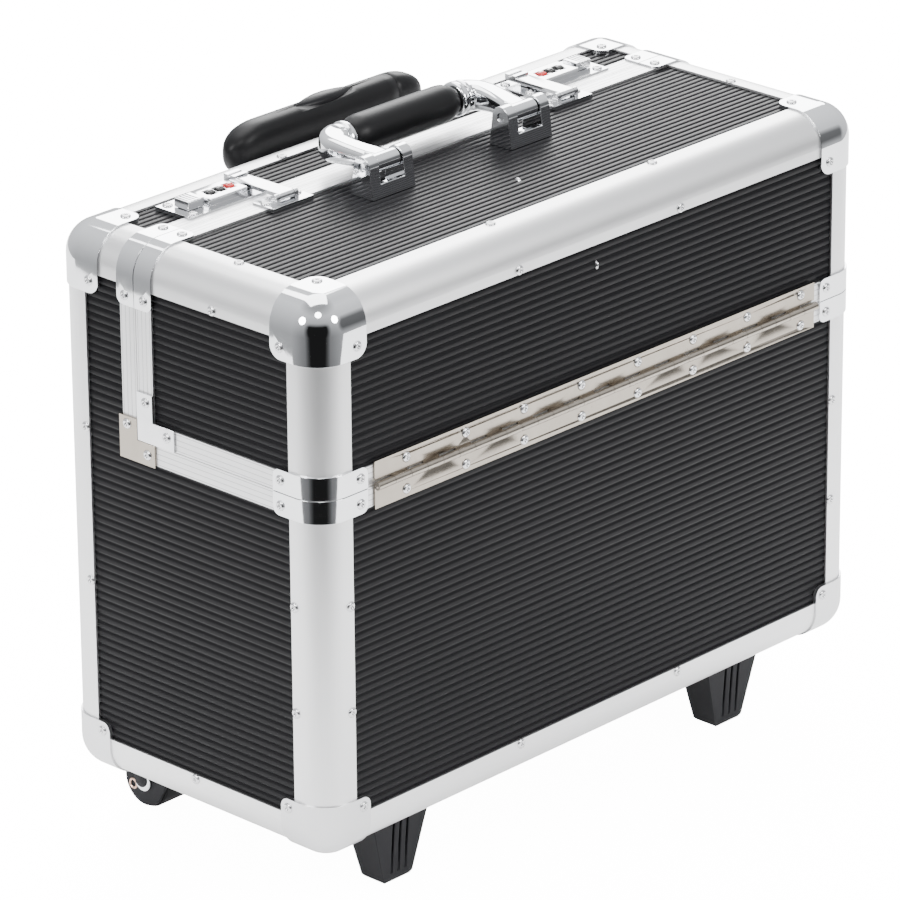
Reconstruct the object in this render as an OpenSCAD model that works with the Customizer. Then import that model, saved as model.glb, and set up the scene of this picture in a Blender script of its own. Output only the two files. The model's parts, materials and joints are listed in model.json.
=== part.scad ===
// Rolling aluminium-framed document case: a ribbed-panel body with rounded edge
// extrusions, an L-shaped lid on a front piano hinge, two dial locks, a folding carry
// handle, a telescopic pull handle, two rear wheels and two front feet.
// +Z is up, X runs along the long side, the hinged front faces -Y and the wheels are
// at +Y. The origin is on the ground under the middle of the whole case.

/* [Body] */
// Length of the body over its edge extrusions
body_l = 480; // [430:1:580]
// Depth of the body, front face to back face
body_d = 220; // [200:1:270]
// Height of the body without its feet
body_h = 354; // [300:1:430]
// Height of the feet, ground to the underside of the body
foot_h = 48; // [42:1:60]
// Height of the lid above the hinge line
lid_h = 121.5; // [100:0.5:150]
// Depth of the fixed strip behind the lid
strip_d = 69; // [60:1:90]

/* [Edges and panels] */
// Outer radius of the edge extrusions
edge_r = 20; // [18:0.5:24]
// Width of an edge extrusion on each face
edge_face = 26; // [25:0.5:32]
// Thickness of an extrusion's outer flange
skin_t = 1.5; // [1:0.1:2]
// Thickness of the ribbed panels
panel_t = 3; // [2:0.1:4]
// Width of the rim extrusions beside the split
rim_w = 13; // [11:0.5:16]
// How far the body's sealing lip stands into the lid
lip_h = 5; // [3:0.5:6]
// Gap between the lid's rim and the body's rim
split_gap = 0.4; // [0.3:0.05:0.8]

/* [Corner fittings] */
// Reach of the polished ball corners along each edge
ball_reach = 38.5; // [37:0.5:42]
// Reach of the satin bottom corners along each edge
base_reach = 36.5; // [36:0.5:40]
// Thickness of the corners, collars and angle plates
fitting_t = 1.2; // [0.8:0.1:1.6]
// Distance of a corner rivet from both edges of its face
corner_rivet = 30.5; // [30:0.5:32]
// Reach of a split collar along each face
collar_reach = 38; // [36:0.5:42]
// Width of a split collar, measured from the split
collar_w = 14.6; // [13:0.2:16]

/* [Rivets] */
// Radius of a rivet head
rivet_r = 3.3; // [2.5:0.1:3.6]
// Radius of a rivet shank
shank_r = 1.6; // [1.2:0.1:2]
// Distance of the edge rivets from the outer edge
edge_rivet = 23.2; // [22.5:0.1:24]

/* [Hinge] */
// Length of the piano hinge
hinge_l = 393; // [360:1:420]
// Number of hinge knuckles, odd
knuckles = 29; // [21:2:35]
// Outer radius of a knuckle
knuckle_r = 2.6; // [2.4:0.1:3]
// Radius of the hinge pin
pin_r = 1.2; // [1:0.1:1.4]
// Height of each hinge leaf, from the axis to its edge
leaf_h = 15; // [14:0.5:18]
// Spacing of the hinge rivets
hinge_pitch = 50.5; // [46:0.5:51]

/* [Carry handle] */
// Sideways place of the carry handle's middle
handle_x = -9; // [-12:1:12]
// Half the distance between the two handle brackets
bracket_x = 60.5; // [56:0.5:66]
// Height of the handle pivot above the lid
pivot_h = 17.5; // [16:0.5:20]
// Distance from the pivot to the grip's axis
handle_reach = 44.5; // [42:0.5:50]
// Radius of the carry grip
grip_r = 12; // [10:0.5:13]
// Length of the carry grip
grip_l = 92; // [84:1:96]

/* [Locks] */
// Sideways place of the point midway between the two locks
lock_mid_x = -2; // [-6:1:6]
// Half the distance between the two locks
lock_x = 147; // [140:1:160]
// Length of a lock's base plate
lock_l = 74; // [70:1:80]
// Radius of a number dial
dial_r = 4; // [3.6:0.1:4.4]
// Spacing of the number dials
dial_pitch = 8; // [7.5:0.1:9]
// Travel of a lock's slider
slider_travel = 4; // [3:0.5:5]

/* [Pull handle] */
// Half the distance between the pull handle's tubes
tube_x = 70; // [60:1:74]
// Distance of the tube axes behind the back face
tube_back = 12; // [11:0.5:15]
// Half the length of the pull grip
pull_half = 84; // [82:1:95]
// How far each tube stage slides out
pull_travel = 255; // [200:5:255]
// Height of the pull grip's top above the body
pull_top = 12; // [10:0.5:16]

/* [Wheels and feet] */
// Radius of a wheel
wheel_r = 18; // [16:0.5:20]
// Width of a wheel
wheel_w = 22; // [20:0.5:24]
// Distance of a wheel housing's outer side from the body's end
wheel_inset = 53.5; // [48:0.5:60]
// How far the wheels stand out behind the back face
wheel_proud = 10.5; // [8:0.5:14]
// Distance of a foot's middle from the body's middle
foot_x = 152; // [145:1:165]

/* [Hidden] */
$fn = 48;

hx = body_l / 2;
hy = body_d / 2;
z0 = foot_h;
z1 = foot_h + body_h;
split_y = hy - strip_d;
split_z = z1 - lid_h;
half_gap = split_gap / 2;
eps = 0.01;
hole_r = shank_r + 0.05;
leg_t = 1.5;
leg_end = skin_t + panel_t + leg_t;
slot_in = edge_r - 2;
panel_in = edge_r;
web_t = 3;
panel_split = web_t + half_gap + 0.8;
lip_in = leg_end + 0.5;
lip_out = lip_in + 2;
lining_in = lip_out + 0.5;
lining_t = 2;
lining_gap = 0.3;
lining_stop = web_t + half_gap + lining_gap;
lining_back = lip_h + 1.5;
collar_ear = 5;
collar_rivet = 8;
collar_rivet_in = 31.8;
lid_plate_leg = 31;
hinge_axis = -hy - knuckle_r - 0.2;
front_most = hinge_axis - knuckle_r;
outer_tube = [22, 20];
back_most = hy + tube_back + outer_tube[1] / 2 + 2;
knuckle_l = hinge_l / knuckles;
knuckle_gap = 0.3;
leaf_t = 1.2;
hinge_rivet_z = 10;
hinge_first_x = -hinge_l / 2 + 26.5;
hinge_rivets = 8;
edge_pair_x = 71.5;

// ---------------------------------------------------------------- placing helpers

// Shifts a piece so that the middle of the whole case stands over the origin.
module placed() {
    translate([0, -(front_most + back_most) / 2, 0]) children();
}

// Puts its children on a face of the body, at each point, with +Z pointing outwards.
module on_face(face, points) {
    for (p = points) {
        if (face == "front") translate([p[0], -hy, p[1]]) rotate([90, 0, 0]) children();
        if (face == "back") translate([p[0], hy, p[1]]) rotate([-90, 0, 0]) children();
        if (face == "left") translate([-hx, p[0], p[1]]) rotate([0, -90, 0]) children();
        if (face == "right") translate([hx, p[0], p[1]]) rotate([0, 90, 0]) children();
        if (face == "top") translate([p[0], p[1], z1]) children();
        if (face == "bottom") translate([p[0], p[1], z0]) rotate([180, 0, 0]) children();
    }
}

// Local frame at a corner of the body: the origin is the centre of the rounded corner
// and the three axes point outwards.
module at_corner(sx, sy, sz) {
    centre_z = sz > 0 ? z1 - edge_r : z0 + edge_r;
    translate([sx * (hx - edge_r), sy * (hy - edge_r), centre_z])
        mirror([sx < 0 ? 1 : 0, 0, 0])
            mirror([0, sy < 0 ? 1 : 0, 0])
                mirror([0, 0, sz < 0 ? 1 : 0])
                    children();
}

module both_sides() {
    children();
    mirror([1, 0, 0]) children();
}

// Plan outline of the body, set in from its faces by the given depth.
module plan_outline(inset) {
    r = edge_r - inset;
    square([body_l - 2 * edge_r, body_d - 2 * inset], center = true);
    square([body_l - 2 * inset, body_d - 2 * edge_r], center = true);
    for (sx = [-1, 1], sy = [-1, 1])
        translate([sx * (hx - edge_r), sy * (hy - edge_r)]) circle(r = r);
}

// End-on outline of the body, seen along Y, set in by the given depth.
module front_outline(inset) {
    r = edge_r - inset;
    translate([0, (z0 + z1) / 2]) {
        square([body_l - 2 * edge_r, body_h - 2 * inset], center = true);
        square([body_l - 2 * inset, body_h - 2 * edge_r], center = true);
    }
    for (sx = [-1, 1], z = [z0 + edge_r, z1 - edge_r])
        translate([sx * (hx - edge_r), z]) circle(r = r);
}

// Flat ring lying level between two heights, between two depths from the outer face.
module level_ring(outer, inner, low, high, y_from, y_to) {
    translate([0, 0, low]) linear_extrude(high - low)
        intersection() {
            difference() {
                plan_outline(outer);
                plan_outline(inner);
            }
            translate([-hx - 1, y_from]) square([body_l + 2, y_to - y_from]);
        }
}

// The same ring standing upright between two places along Y.
module upright_ring(outer, inner, y_from, y_to, z_from) {
    translate([0, y_to, 0]) rotate([90, 0, 0]) linear_extrude(y_to - y_from)
        intersection() {
            difference() {
                front_outline(outer);
                front_outline(inner);
            }
            translate([-hx - 1, z_from]) square([body_l + 2, z1 + 1 - z_from]);
        }
}

// ---------------------------------------------------------------- rivet places

function corner_points(hu, v_edges) =
    [for (u = [-hu + corner_rivet, hu - corner_rivet], v = v_edges) [u, v]];

low_v = z0 + corner_rivet;
high_v = z1 - corner_rivet;
post_low = z0 + 94;
post_mid = z0 + 162;
back_low = z0 + 128;
back_high = z0 + 228;
body_front_rivets = concat(
    [for (s = [-1, 1]) [s * edge_pair_x, z0 + edge_rivet]],
    [for (s = [-1, 1], z = [post_low, post_mid]) [s * (hx - edge_rivet), z]]);
body_front_raised = concat(
    corner_points(hx, [low_v]),
    [for (s = [-1, 1]) [s * (hx - collar_rivet_in), split_z - collar_rivet]],
    [for (i = [0 : hinge_rivets - 1])
        [hinge_first_x + i * hinge_pitch, split_z - hinge_rivet_z]]);
body_back_rivets = concat(
    [for (s = [-1, 1]) [s * edge_pair_x, z1 - edge_rivet]],
    [for (s = [-1, 1], z = [back_low, back_high]) [s * (hx - edge_rivet), z]]);
body_back_raised = corner_points(hx, [high_v]);
body_back_low = corner_points(hx, [low_v]);
body_end_rivets = concat(
    [[0, z0 + edge_rivet]],
    [for (z = [post_low, post_mid]) [-hy + edge_rivet, z]],
    [for (z = [back_low, back_high]) [hy - edge_rivet, z]]);
body_end_raised = concat(
    corner_points(hy, [low_v]),
    [[hy - corner_rivet, high_v],
     [split_y + collar_rivet, z1 - collar_rivet_in],
     [-hy + collar_rivet_in, split_z - collar_rivet],
     [split_y + 8.7, split_z + 8.1],
     [split_y - 8.2, split_z - 7.6]]);
body_top_rivets = [for (s = [-1, 1]) [s * edge_pair_x, hy - edge_rivet]];
body_top_raised = concat(
    [for (s = [-1, 1]) [s * (hx - corner_rivet), hy - corner_rivet]],
    [for (s = [-1, 1]) [s * (hx - collar_rivet_in), split_y + collar_rivet]]);
body_bottom_rivets = concat(
    [for (sx = [-1, 1], sy = [-1, 1]) [sx * edge_pair_x, sy * (hy - edge_rivet)]],
    [for (s = [-1, 1]) [s * (hx - edge_rivet), 0]]);
body_bottom_raised = corner_points(hx, [-hy + corner_rivet, hy - corner_rivet]);
lid_front_rivets = concat(
    [for (s = [-1, 1]) [s * edge_pair_x, z1 - edge_rivet]]);
lid_front_panel_rivet = [[0, z1 - 40]];
lid_front_raised = concat(
    corner_points(hx, [high_v]),
    [for (s = [-1, 1]) [s * (hx - collar_rivet_in), split_z + collar_rivet]],
    [for (i = [0 : hinge_rivets - 1])
        [hinge_first_x + i * hinge_pitch, split_z + hinge_rivet_z]]);
lid_end_rivets = [[-edge_rivet, z1 - edge_rivet]];
lid_end_raised = [
    [-hy + corner_rivet, high_v],
    [split_y - collar_rivet, z1 - collar_rivet_in],
    [-hy + collar_rivet_in, split_z + collar_rivet],
    [split_y - 7.4, split_z + 25.5],
    [split_y - 24.9, split_z + 8]];
lid_top_rivets = concat(
    [for (s = [-1, 1]) [s * edge_pair_x, -hy + edge_rivet]],
    [for (s = [-1, 1]) [s * (hx - edge_rivet), -edge_rivet]]);
lid_top_panel_rivet = [[0, -hy + 65.5]];
lid_top_raised = concat(
    [for (s = [-1, 1]) [s * (hx - corner_rivet), -hy + corner_rivet]],
    [for (s = [-1, 1]) [s * (hx - collar_rivet_in), split_y - collar_rivet]]);

head_t = 1.2;
rivet_depth = leg_end + 0.4;

// One pop rivet: a low domed head with a sunk centre, on a shank that reaches inwards.
// seat is how far its seat stands above the face.
module rivet(seat) {
    difference() {
        union() {
            translate([0, 0, seat]) cylinder(r1 = rivet_r, r2 = rivet_r - 1, h = head_t);
            translate([0, 0, -rivet_depth]) cylinder(r = shank_r, h = rivet_depth + seat + eps);
        }
        translate([0, 0, seat + head_t - 0.7]) cylinder(r = shank_r - 0.4, h = 1);
    }
}

module hole() {
    translate([0, 0, -rivet_depth - 1]) cylinder(r = hole_r, h = rivet_depth + 6);
}

module body_holes(face) {
    if (face == "front") on_face("front", concat(body_front_rivets, body_front_raised)) hole();
    if (face == "back")
        on_face("back", concat(body_back_rivets, body_back_raised, body_back_low)) hole();
    if (face == "left" || face == "right")
        on_face(face, concat(body_end_rivets, body_end_raised)) hole();
    if (face == "top") {
        on_face("top", concat(body_top_rivets, body_top_raised)) hole();
        for (s = [-1, 1]) on_face("top", lock_rivet_points(s)) hole();
    }
    if (face == "bottom")
        on_face("bottom", concat(body_bottom_rivets, body_bottom_raised)) hole();
}

module lid_holes(face) {
    if (face == "front")
        on_face("front", concat(lid_front_rivets, lid_front_panel_rivet, lid_front_raised))
            hole();
    if (face == "left" || face == "right")
        on_face(face, concat(lid_end_rivets, lid_end_raised)) hole();
    if (face == "top") {
        on_face("top", concat(lid_top_rivets, lid_top_panel_rivet, lid_top_raised)) hole();
        for (s = [-1, 1]) on_face("top", keeper_rivet_points(s)) hole();
    }
}

module all_lid_holes() {
    for (face = ["front", "left", "right", "top"]) lid_holes(face);
}

module body_rivets() color("gainsboro") placed() {
    on_face("front", body_front_rivets) rivet(0);
    on_face("front", body_front_raised) rivet(fitting_t);
    on_face("back", body_back_rivets) rivet(0);
    on_face("back", concat(body_back_raised, body_back_low)) rivet(fitting_t);
    for (face = ["left", "right"]) {
        on_face(face, body_end_rivets) rivet(0);
        on_face(face, body_end_raised) rivet(fitting_t);
    }
    on_face("top", body_top_rivets) rivet(0);
    on_face("top", body_top_raised) rivet(fitting_t);
    on_face("bottom", body_bottom_rivets) rivet(0);
    on_face("bottom", body_bottom_raised) rivet(fitting_t);
    for (s = [-1, 1]) on_face("top", lock_rivet_points(s)) rivet(lock_plate_t);
}

module lid_rivets() color("gainsboro") placed() {
    on_face("front", lid_front_rivets) rivet(0);
    on_face("front", lid_front_panel_rivet) rivet(-skin_t);
    on_face("front", lid_front_raised) rivet(fitting_t);
    for (face = ["left", "right"]) {
        on_face(face, lid_end_rivets) rivet(0);
        on_face(face, lid_end_raised) rivet(fitting_t);
    }
    on_face("top", lid_top_rivets) rivet(0);
    on_face("top", lid_top_panel_rivet) rivet(-skin_t);
    on_face("top", lid_top_raised) rivet(fitting_t);
    for (s = [-1, 1]) on_face("top", keeper_rivet_points(s)) rivet(keeper_t);
}

// ---------------------------------------------------------------- panels

face_low = z0 + panel_in;
face_high = z1 - panel_in;
face_split = split_z - panel_split;
lid_split = split_z + panel_split;

// Flat plate standing on a face, between two places along the face and two heights.
module front_plate(low, high) {
    translate([-hx + panel_in, -hy + skin_t, low])
        cube([body_l - 2 * panel_in, panel_t, high - low]);
}

module end_plate(side, from_y, to_y, low, high) {
    translate([side * (hx - skin_t - panel_t / 2), (from_y + to_y) / 2, (low + high) / 2])
        cube([panel_t, to_y - from_y, high - low], center = true);
}

module front_panel() color("dimgray") placed() difference() {
    front_plate(face_low, face_split);
    body_holes("front");
}

module lid_front_panel() color("dimgray") placed() difference() {
    front_plate(lid_split, face_high);
    lid_holes("front");
}

module back_panel() color("dimgray") placed() difference() {
    translate([-hx + panel_in, hy - skin_t - panel_t, face_low])
        cube([body_l - 2 * panel_in, panel_t, face_high - face_low]);
    body_holes("back");
}

module bottom_panel() color("dimgray") placed() difference() {
    translate([-hx + panel_in, -hy + panel_in, z0 + skin_t])
        cube([body_l - 2 * panel_in, body_d - 2 * panel_in, panel_t]);
    body_holes("bottom");
}

module top_plate(from_y, to_y) {
    translate([-hx + panel_in, from_y, z1 - skin_t - panel_t])
        cube([body_l - 2 * panel_in, to_y - from_y, panel_t]);
}

module strip_panel() color("dimgray") placed() difference() {
    top_plate(split_y + panel_split, hy - panel_in);
    body_holes("top");
}

module lid_top_panel() color("dimgray") placed() difference() {
    top_plate(-hy + panel_in, split_y - panel_split);
    lid_holes("top");
}

module end_panels() color("dimgray") placed() {
    for (side = [-1, 1])
        difference() {
            union() {
                end_plate(side, -hy + panel_in, hy - panel_in, face_low, face_split);
                end_plate(side, split_y + panel_split, hy - panel_in, face_low, face_high);
            }
            body_holes(side < 0 ? "left" : "right");
        }
}

module lid_end_panels() color("dimgray") placed() {
    for (side = [-1, 1])
        difference() {
            end_plate(side, -hy + panel_in, split_y - panel_split, lid_split, face_high);
            lid_holes(side < 0 ? "left" : "right");
        }
}

// ---------------------------------------------------------------- edge extrusions

flange = edge_face - edge_r;
edge_end = edge_face + 0.2;

// Cross-section of an edge extrusion: a rounded skin with two flanges, and a slot on
// each side that grips the edge of a panel. The arc's centre is the origin.
module edge_section() {
    slot_u = edge_r - slot_in;
    difference() {
        circle(r = edge_r);
        circle(r = edge_r - skin_t);
        translate([-edge_r - 1, -edge_r - 1]) square([2 * edge_r + 2, edge_r + 1]);
        translate([-edge_r - 1, -edge_r - 1]) square([edge_r + 1, 2 * edge_r + 2]);
    }
    for (swap = [0, 1]) mirror([swap, -swap]) {
        translate([-flange, edge_r - skin_t]) square([flange, skin_t]);
        translate([-flange, edge_r - leg_end]) square([flange + slot_u + leg_t, leg_t]);
        translate([slot_u, edge_r - leg_end])
            square([leg_t, leg_end - skin_t - 0.1]);
    }
}

// Edge running along X, between two places.
module edge_x(sy, sz, from, to) {
    z = sz > 0 ? z1 - edge_r : z0 + edge_r;
    translate([from, sy * (hy - edge_r), z])
        mirror([0, sy < 0 ? 1 : 0, 0]) mirror([0, 0, sz < 0 ? 1 : 0])
            rotate([90, 0, 90]) linear_extrude(to - from) edge_section();
}

// Edge running along Y, between two places.
module edge_y(sx, sz, from, to) {
    z = sz > 0 ? z1 - edge_r : z0 + edge_r;
    translate([sx * (hx - edge_r), to, z])
        mirror([sx < 0 ? 1 : 0, 0, 0]) mirror([0, 0, sz < 0 ? 1 : 0])
            rotate([90, 0, 0]) linear_extrude(to - from) edge_section();
}

// Upright edge, between two heights.
module edge_z(sx, sy, low, high) {
    translate([sx * (hx - edge_r), sy * (hy - edge_r), low])
        mirror([sx < 0 ? 1 : 0, 0, 0]) mirror([0, sy < 0 ? 1 : 0, 0])
            linear_extrude(high - low) edge_section();
}

module bottom_edges() color("silver") placed() difference() {
    union() {
        for (sy = [-1, 1]) edge_x(sy, -1, -hx + edge_end, hx - edge_end);
        for (sx = [-1, 1]) edge_y(sx, -1, -hy + edge_end, hy - edge_end);
    }
    for (face = ["front", "back", "left", "right", "bottom"]) body_holes(face);
}

module upright_edges() color("silver") placed() difference() {
    for (sx = [-1, 1]) {
        edge_z(sx, -1, z0 + edge_end, split_z - rim_w - half_gap);
        edge_z(sx, 1, z0 + edge_end, z1 - edge_end);
    }
    for (face = ["front", "back", "left", "right"]) body_holes(face);
}

module back_top_edge() color("silver") placed() difference() {
    edge_x(1, 1, -hx + edge_end, hx - edge_end);
    for (face = ["back", "top"]) body_holes(face);
}

module strip_edges() color("silver") placed() difference() {
    for (sx = [-1, 1]) edge_y(sx, 1, split_y + rim_w + half_gap, hy - edge_end);
    for (face = ["left", "right", "top"]) body_holes(face);
}

module lid_front_edge() color("silver") placed() difference() {
    edge_x(-1, 1, -hx + edge_end, hx - edge_end);
    for (face = ["front", "top"]) lid_holes(face);
}

module lid_side_edges() color("silver") placed() difference() {
    for (sx = [-1, 1]) {
        edge_y(sx, 1, -hy + edge_end, split_y - rim_w - half_gap);
        edge_z(sx, -1, split_z + rim_w + half_gap, z1 - edge_end);
    }
    all_lid_holes();
}

// ---------------------------------------------------------------- rims at the split

slot_deep = skin_t + panel_t;

module body_rim() color("silver") placed() difference() {
    union() {
        for (d = [[0, skin_t], [slot_deep, leg_end]]) {
            level_ring(d[0], d[1], split_z - rim_w, split_z - half_gap, -hy - 1,
                split_y + rim_w);
            upright_ring(d[0], d[1], split_y + half_gap, split_y + rim_w, split_z - rim_w);
        }
        level_ring(0, lip_out, split_z - half_gap - web_t, split_z - half_gap, -hy - 1,
            split_y + half_gap + web_t);
        upright_ring(0, lip_out, split_y + half_gap, split_y + half_gap + web_t,
            split_z - half_gap - web_t);
        level_ring(lip_in, lip_out, split_z - half_gap - web_t, split_z + lip_h, -hy - 1,
            split_y + half_gap + web_t);
        upright_ring(lip_in, lip_out, split_y - lip_h, split_y + half_gap + web_t,
            split_z - half_gap - web_t);
    }
    for (face = ["front", "left", "right", "top"]) body_holes(face);
}

module lid_rim() color("silver") placed() difference() {
    union() {
        for (d = [[0, skin_t], [slot_deep, leg_end]]) {
            level_ring(d[0], d[1], split_z + half_gap, split_z + rim_w, -hy - 1,
                split_y - half_gap);
            upright_ring(d[0], d[1], split_y - rim_w, split_y - half_gap,
                split_z + half_gap);
        }
        level_ring(0, leg_end, split_z + half_gap, split_z + half_gap + web_t, -hy - 1,
            split_y - half_gap);
        upright_ring(0, leg_end, split_y - half_gap - web_t, split_y - half_gap,
            split_z + half_gap);
    }
    all_lid_holes();
}

// ---------------------------------------------------------------- corner fittings

module three_faces() {
    children();
    rotate([90, 0, 90]) children();
    rotate([90, 0, 90]) rotate([90, 0, 90]) children();
}

module ear_shape(l, r) {
    translate([-l + r, -l]) square([l - r, l]);
    translate([-l, -l + r]) square([l, l - r]);
    translate([-l + r, -l + r]) circle(r = r);
}

module quarter_ring(r_in, r_out) {
    difference() {
        intersection() {
            circle(r = r_out);
            square(r_out + 1);
        }
        circle(r = r_in);
    }
}

// A corner cap in its corner's own frame: a round shell with a rounded ear on each face.
module corner_cap(reach, lobe_r) {
    l = reach - edge_r;
    three_faces() {
        translate([0, 0, edge_r]) linear_extrude(fitting_t) ear_shape(l, lobe_r);
        translate([0, 0, edge_r - skin_t]) linear_extrude(skin_t) intersection() {
            ear_shape(l, lobe_r);
            translate([-l, -l]) square(l - flange - 0.1);
        }
        translate([-l, 0, 0]) rotate([90, 0, 90]) linear_extrude(l)
            quarter_ring(edge_r, edge_r + fitting_t);
    }
    difference() {
        intersection() {
            sphere(r = edge_r + fitting_t);
            cube(edge_r + fitting_t + 1);
        }
        sphere(r = edge_r - skin_t);
    }
}

module body_ball_corners() color("white") placed() difference() {
    for (sx = [-1, 1]) at_corner(sx, 1, 1) corner_cap(ball_reach, 8.5);
    for (face = ["back", "left", "right", "top"]) body_holes(face);
}

module lid_ball_corners() color("white") placed() difference() {
    for (sx = [-1, 1]) at_corner(sx, -1, 1) corner_cap(ball_reach, 8.5);
    all_lid_holes();
}

module bottom_corners() color("lightgray") placed() difference() {
    for (sx = [-1, 1], sy = [-1, 1]) at_corner(sx, sy, -1) corner_cap(base_reach, 6);
    for (face = ["front", "back", "left", "right", "bottom"]) body_holes(face);
}

// A split collar: it wraps the rounded edge, with an ear on each face. Local +Z runs
// along the edge, away from the split.
module collar() {
    l = collar_reach - edge_r;
    w = collar_w - half_gap;
    translate([0, 0, half_gap]) {
        linear_extrude(w) quarter_ring(edge_r, edge_r + fitting_t);
        for (swap = [0, 1]) mirror([swap, -swap, 0])
            translate([0, edge_r + fitting_t, 0]) rotate([90, 0, 0])
                linear_extrude(fitting_t) {
                    translate([-l + collar_ear, 0]) square([l - collar_ear, w]);
                    translate([-l, 0]) square([l, w - collar_ear]);
                    translate([-l + collar_ear, w - collar_ear]) circle(r = collar_ear);
                }
    }
}

module front_collar(sx, up) {
    translate([sx * (hx - edge_r), -hy + edge_r, split_z])
        mirror([sx < 0 ? 1 : 0, 0, 0]) mirror([0, 1, 0]) mirror([0, 0, up ? 0 : 1]) collar();
}

module top_collar(sx, back) {
    translate([sx * (hx - edge_r), split_y, z1 - edge_r])
        mirror([sx < 0 ? 1 : 0, 0, 0]) mirror([0, back ? 1 : 0, 0]) rotate([90, 0, 0])
            collar();
}

module body_collars() color("white") placed() difference() {
    for (sx = [-1, 1]) {
        front_collar(sx, false);
        top_collar(sx, true);
    }
    for (face = ["front", "left", "right", "top"]) body_holes(face);
}

module lid_collars() color("white") placed() difference() {
    for (sx = [-1, 1]) {
        front_collar(sx, true);
        top_collar(sx, false);
    }
    all_lid_holes();
}

// Angle plates on the ends, where the split turns upwards.
module body_angle_plates() color("tan") placed() difference() {
    both_sides() translate([hx, split_y, split_z]) {
        translate([0, -14.5, -14.5]) cube([fitting_t, 29.9, 14.5 - half_gap]);
        translate([0, half_gap, -14.5]) cube([fitting_t, 15.4 - half_gap, 27.4]);
    }
    for (face = ["left", "right"]) body_holes(face);
}

module lid_angle_plates() color("tan") placed() difference() {
    both_sides() translate([hx, split_y, split_z]) {
        translate([0, -lid_plate_leg, half_gap])
            cube([fitting_t, lid_plate_leg - half_gap, 13.9 - half_gap]);
        translate([0, -13.1, half_gap]) cube([fitting_t, 13.1 - half_gap, lid_plate_leg]);
    }
    for (face = ["left", "right"]) lid_holes(face);
}

// ---------------------------------------------------------------- hinge

// One hinge leaf with every second knuckle; first is 0 for the body's leaf and 1 for
// the lid's leaf, which is turned over.
module hinge_leaf(first) {
    clear = knuckle_r + 0.5;
    translate([-hinge_l / 2, 0, 0]) {
        difference() {
            translate([0, -hy - leaf_t, -leaf_h]) cube([hinge_l, leaf_t, leaf_h]);
            for (i = [1 - first : 2 : knuckles - 1])
                translate([i * knuckle_l - knuckle_gap / 2, -hy - leaf_t - 1, -clear])
                    cube([knuckle_l + knuckle_gap, leaf_t + 2, clear + 1]);
            translate([-1, hinge_axis, 0]) rotate([0, 90, 0])
                cylinder(r = pin_r + 0.05, h = hinge_l + 2);
        }
        for (i = [first : 2 : knuckles - 1])
            translate([i * knuckle_l + knuckle_gap / 2, hinge_axis, 0]) rotate([0, 90, 0])
                difference() {
                    cylinder(r = knuckle_r, h = knuckle_l - knuckle_gap);
                    translate([0, 0, -1]) cylinder(r = pin_r + 0.05, h = knuckle_l + 2);
                }
    }
}

module hinge_body_leaf() color("tan") placed() difference() {
    translate([0, 0, split_z]) hinge_leaf(0);
    body_holes("front");
}

module hinge_lid_leaf() color("tan") placed() difference() {
    translate([0, 0, split_z]) mirror([0, 0, 1]) hinge_leaf(1);
    lid_holes("front");
}

module hinge_pin() color("gray") placed() translate([-hinge_l / 2, hinge_axis, split_z])
    rotate([0, 90, 0]) cylinder(r = pin_r, h = hinge_l);

// ---------------------------------------------------------------- linings

module lining_block(inset) {
    translate([0, 0, z0 + inset]) linear_extrude(body_h - 2 * inset) plan_outline(inset);
}

// The room inside the frame's rounded edges, which the linings keep to.
module frame_room() {
    translate([0, hy, 0]) rotate([90, 0, 0]) linear_extrude(body_d)
        front_outline(leg_end + lining_gap);
}

module body_lining() color("black") placed() difference() {
    intersection() {
        lining_block(lining_in);
        frame_room();
    }
    lining_block(lining_in + lining_t);
    translate([-hx, -hy, split_z - lining_stop])
        cube([body_l, split_y + lining_stop + hy, body_h]);
}

module lid_lining() color("black") placed() intersection() {
    frame_room();
    difference() {
        lining_block(lining_in);
        lining_block(lining_in + lining_t);
    }
    translate([-hx, -hy, split_z + lining_back])
        cube([body_l, split_y - lining_back + hy, body_h]);
}

// ---------------------------------------------------------------- locks

lock_plate_t = 1.2;
keeper_t = 1.2;
lock_y = split_y + 22.6;
lock_w = 30;
lock_rivet_x = 31;
lock_rivet_y = 10.7;
house_w = 18.5;
house_top = 5.5;
house_from = -16;
house_to = 15;
dial_z = 2.8;
dial_w = 5;
dial_first = -9.5;
axle_r = 0.9;
slot_gap = 0.35;
slider_from = 17;
slider_l = 13;
slider_w = 12;
hasp_at = -23.5;
hasp_w = 12;
hasp_y = split_y - 11;
hasp_z = 4;
hasp_r = 2.4;
hasp_pin_r = 1.1;
hasp_tip = split_y + 35;
keeper_w = 34;
keeper_y = split_y - 18;
staple_y = split_y + 19;
staple_l = 6;
rim_edge = split_y + rim_w + 0.2;

function lock_centre(s) = lock_mid_x + s * lock_x;
function lock_rivet_points(s) =
    [for (a = [-1, 1], b = [-1, 1])
        [lock_centre(s) + a * lock_rivet_x, lock_y + b * lock_rivet_y]];
function keeper_rivet_points(s) =
    [for (a = [-1, 1]) [lock_centre(s) + s * hasp_at + a * 13, split_y - 7.5]];

// Puts its children at a lock, on the top face; local +X points away from the middle.
module at_lock(s) {
    translate([lock_centre(s), lock_y, z1]) mirror([s < 0 ? 1 : 0, 0, 0]) children();
}

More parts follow.
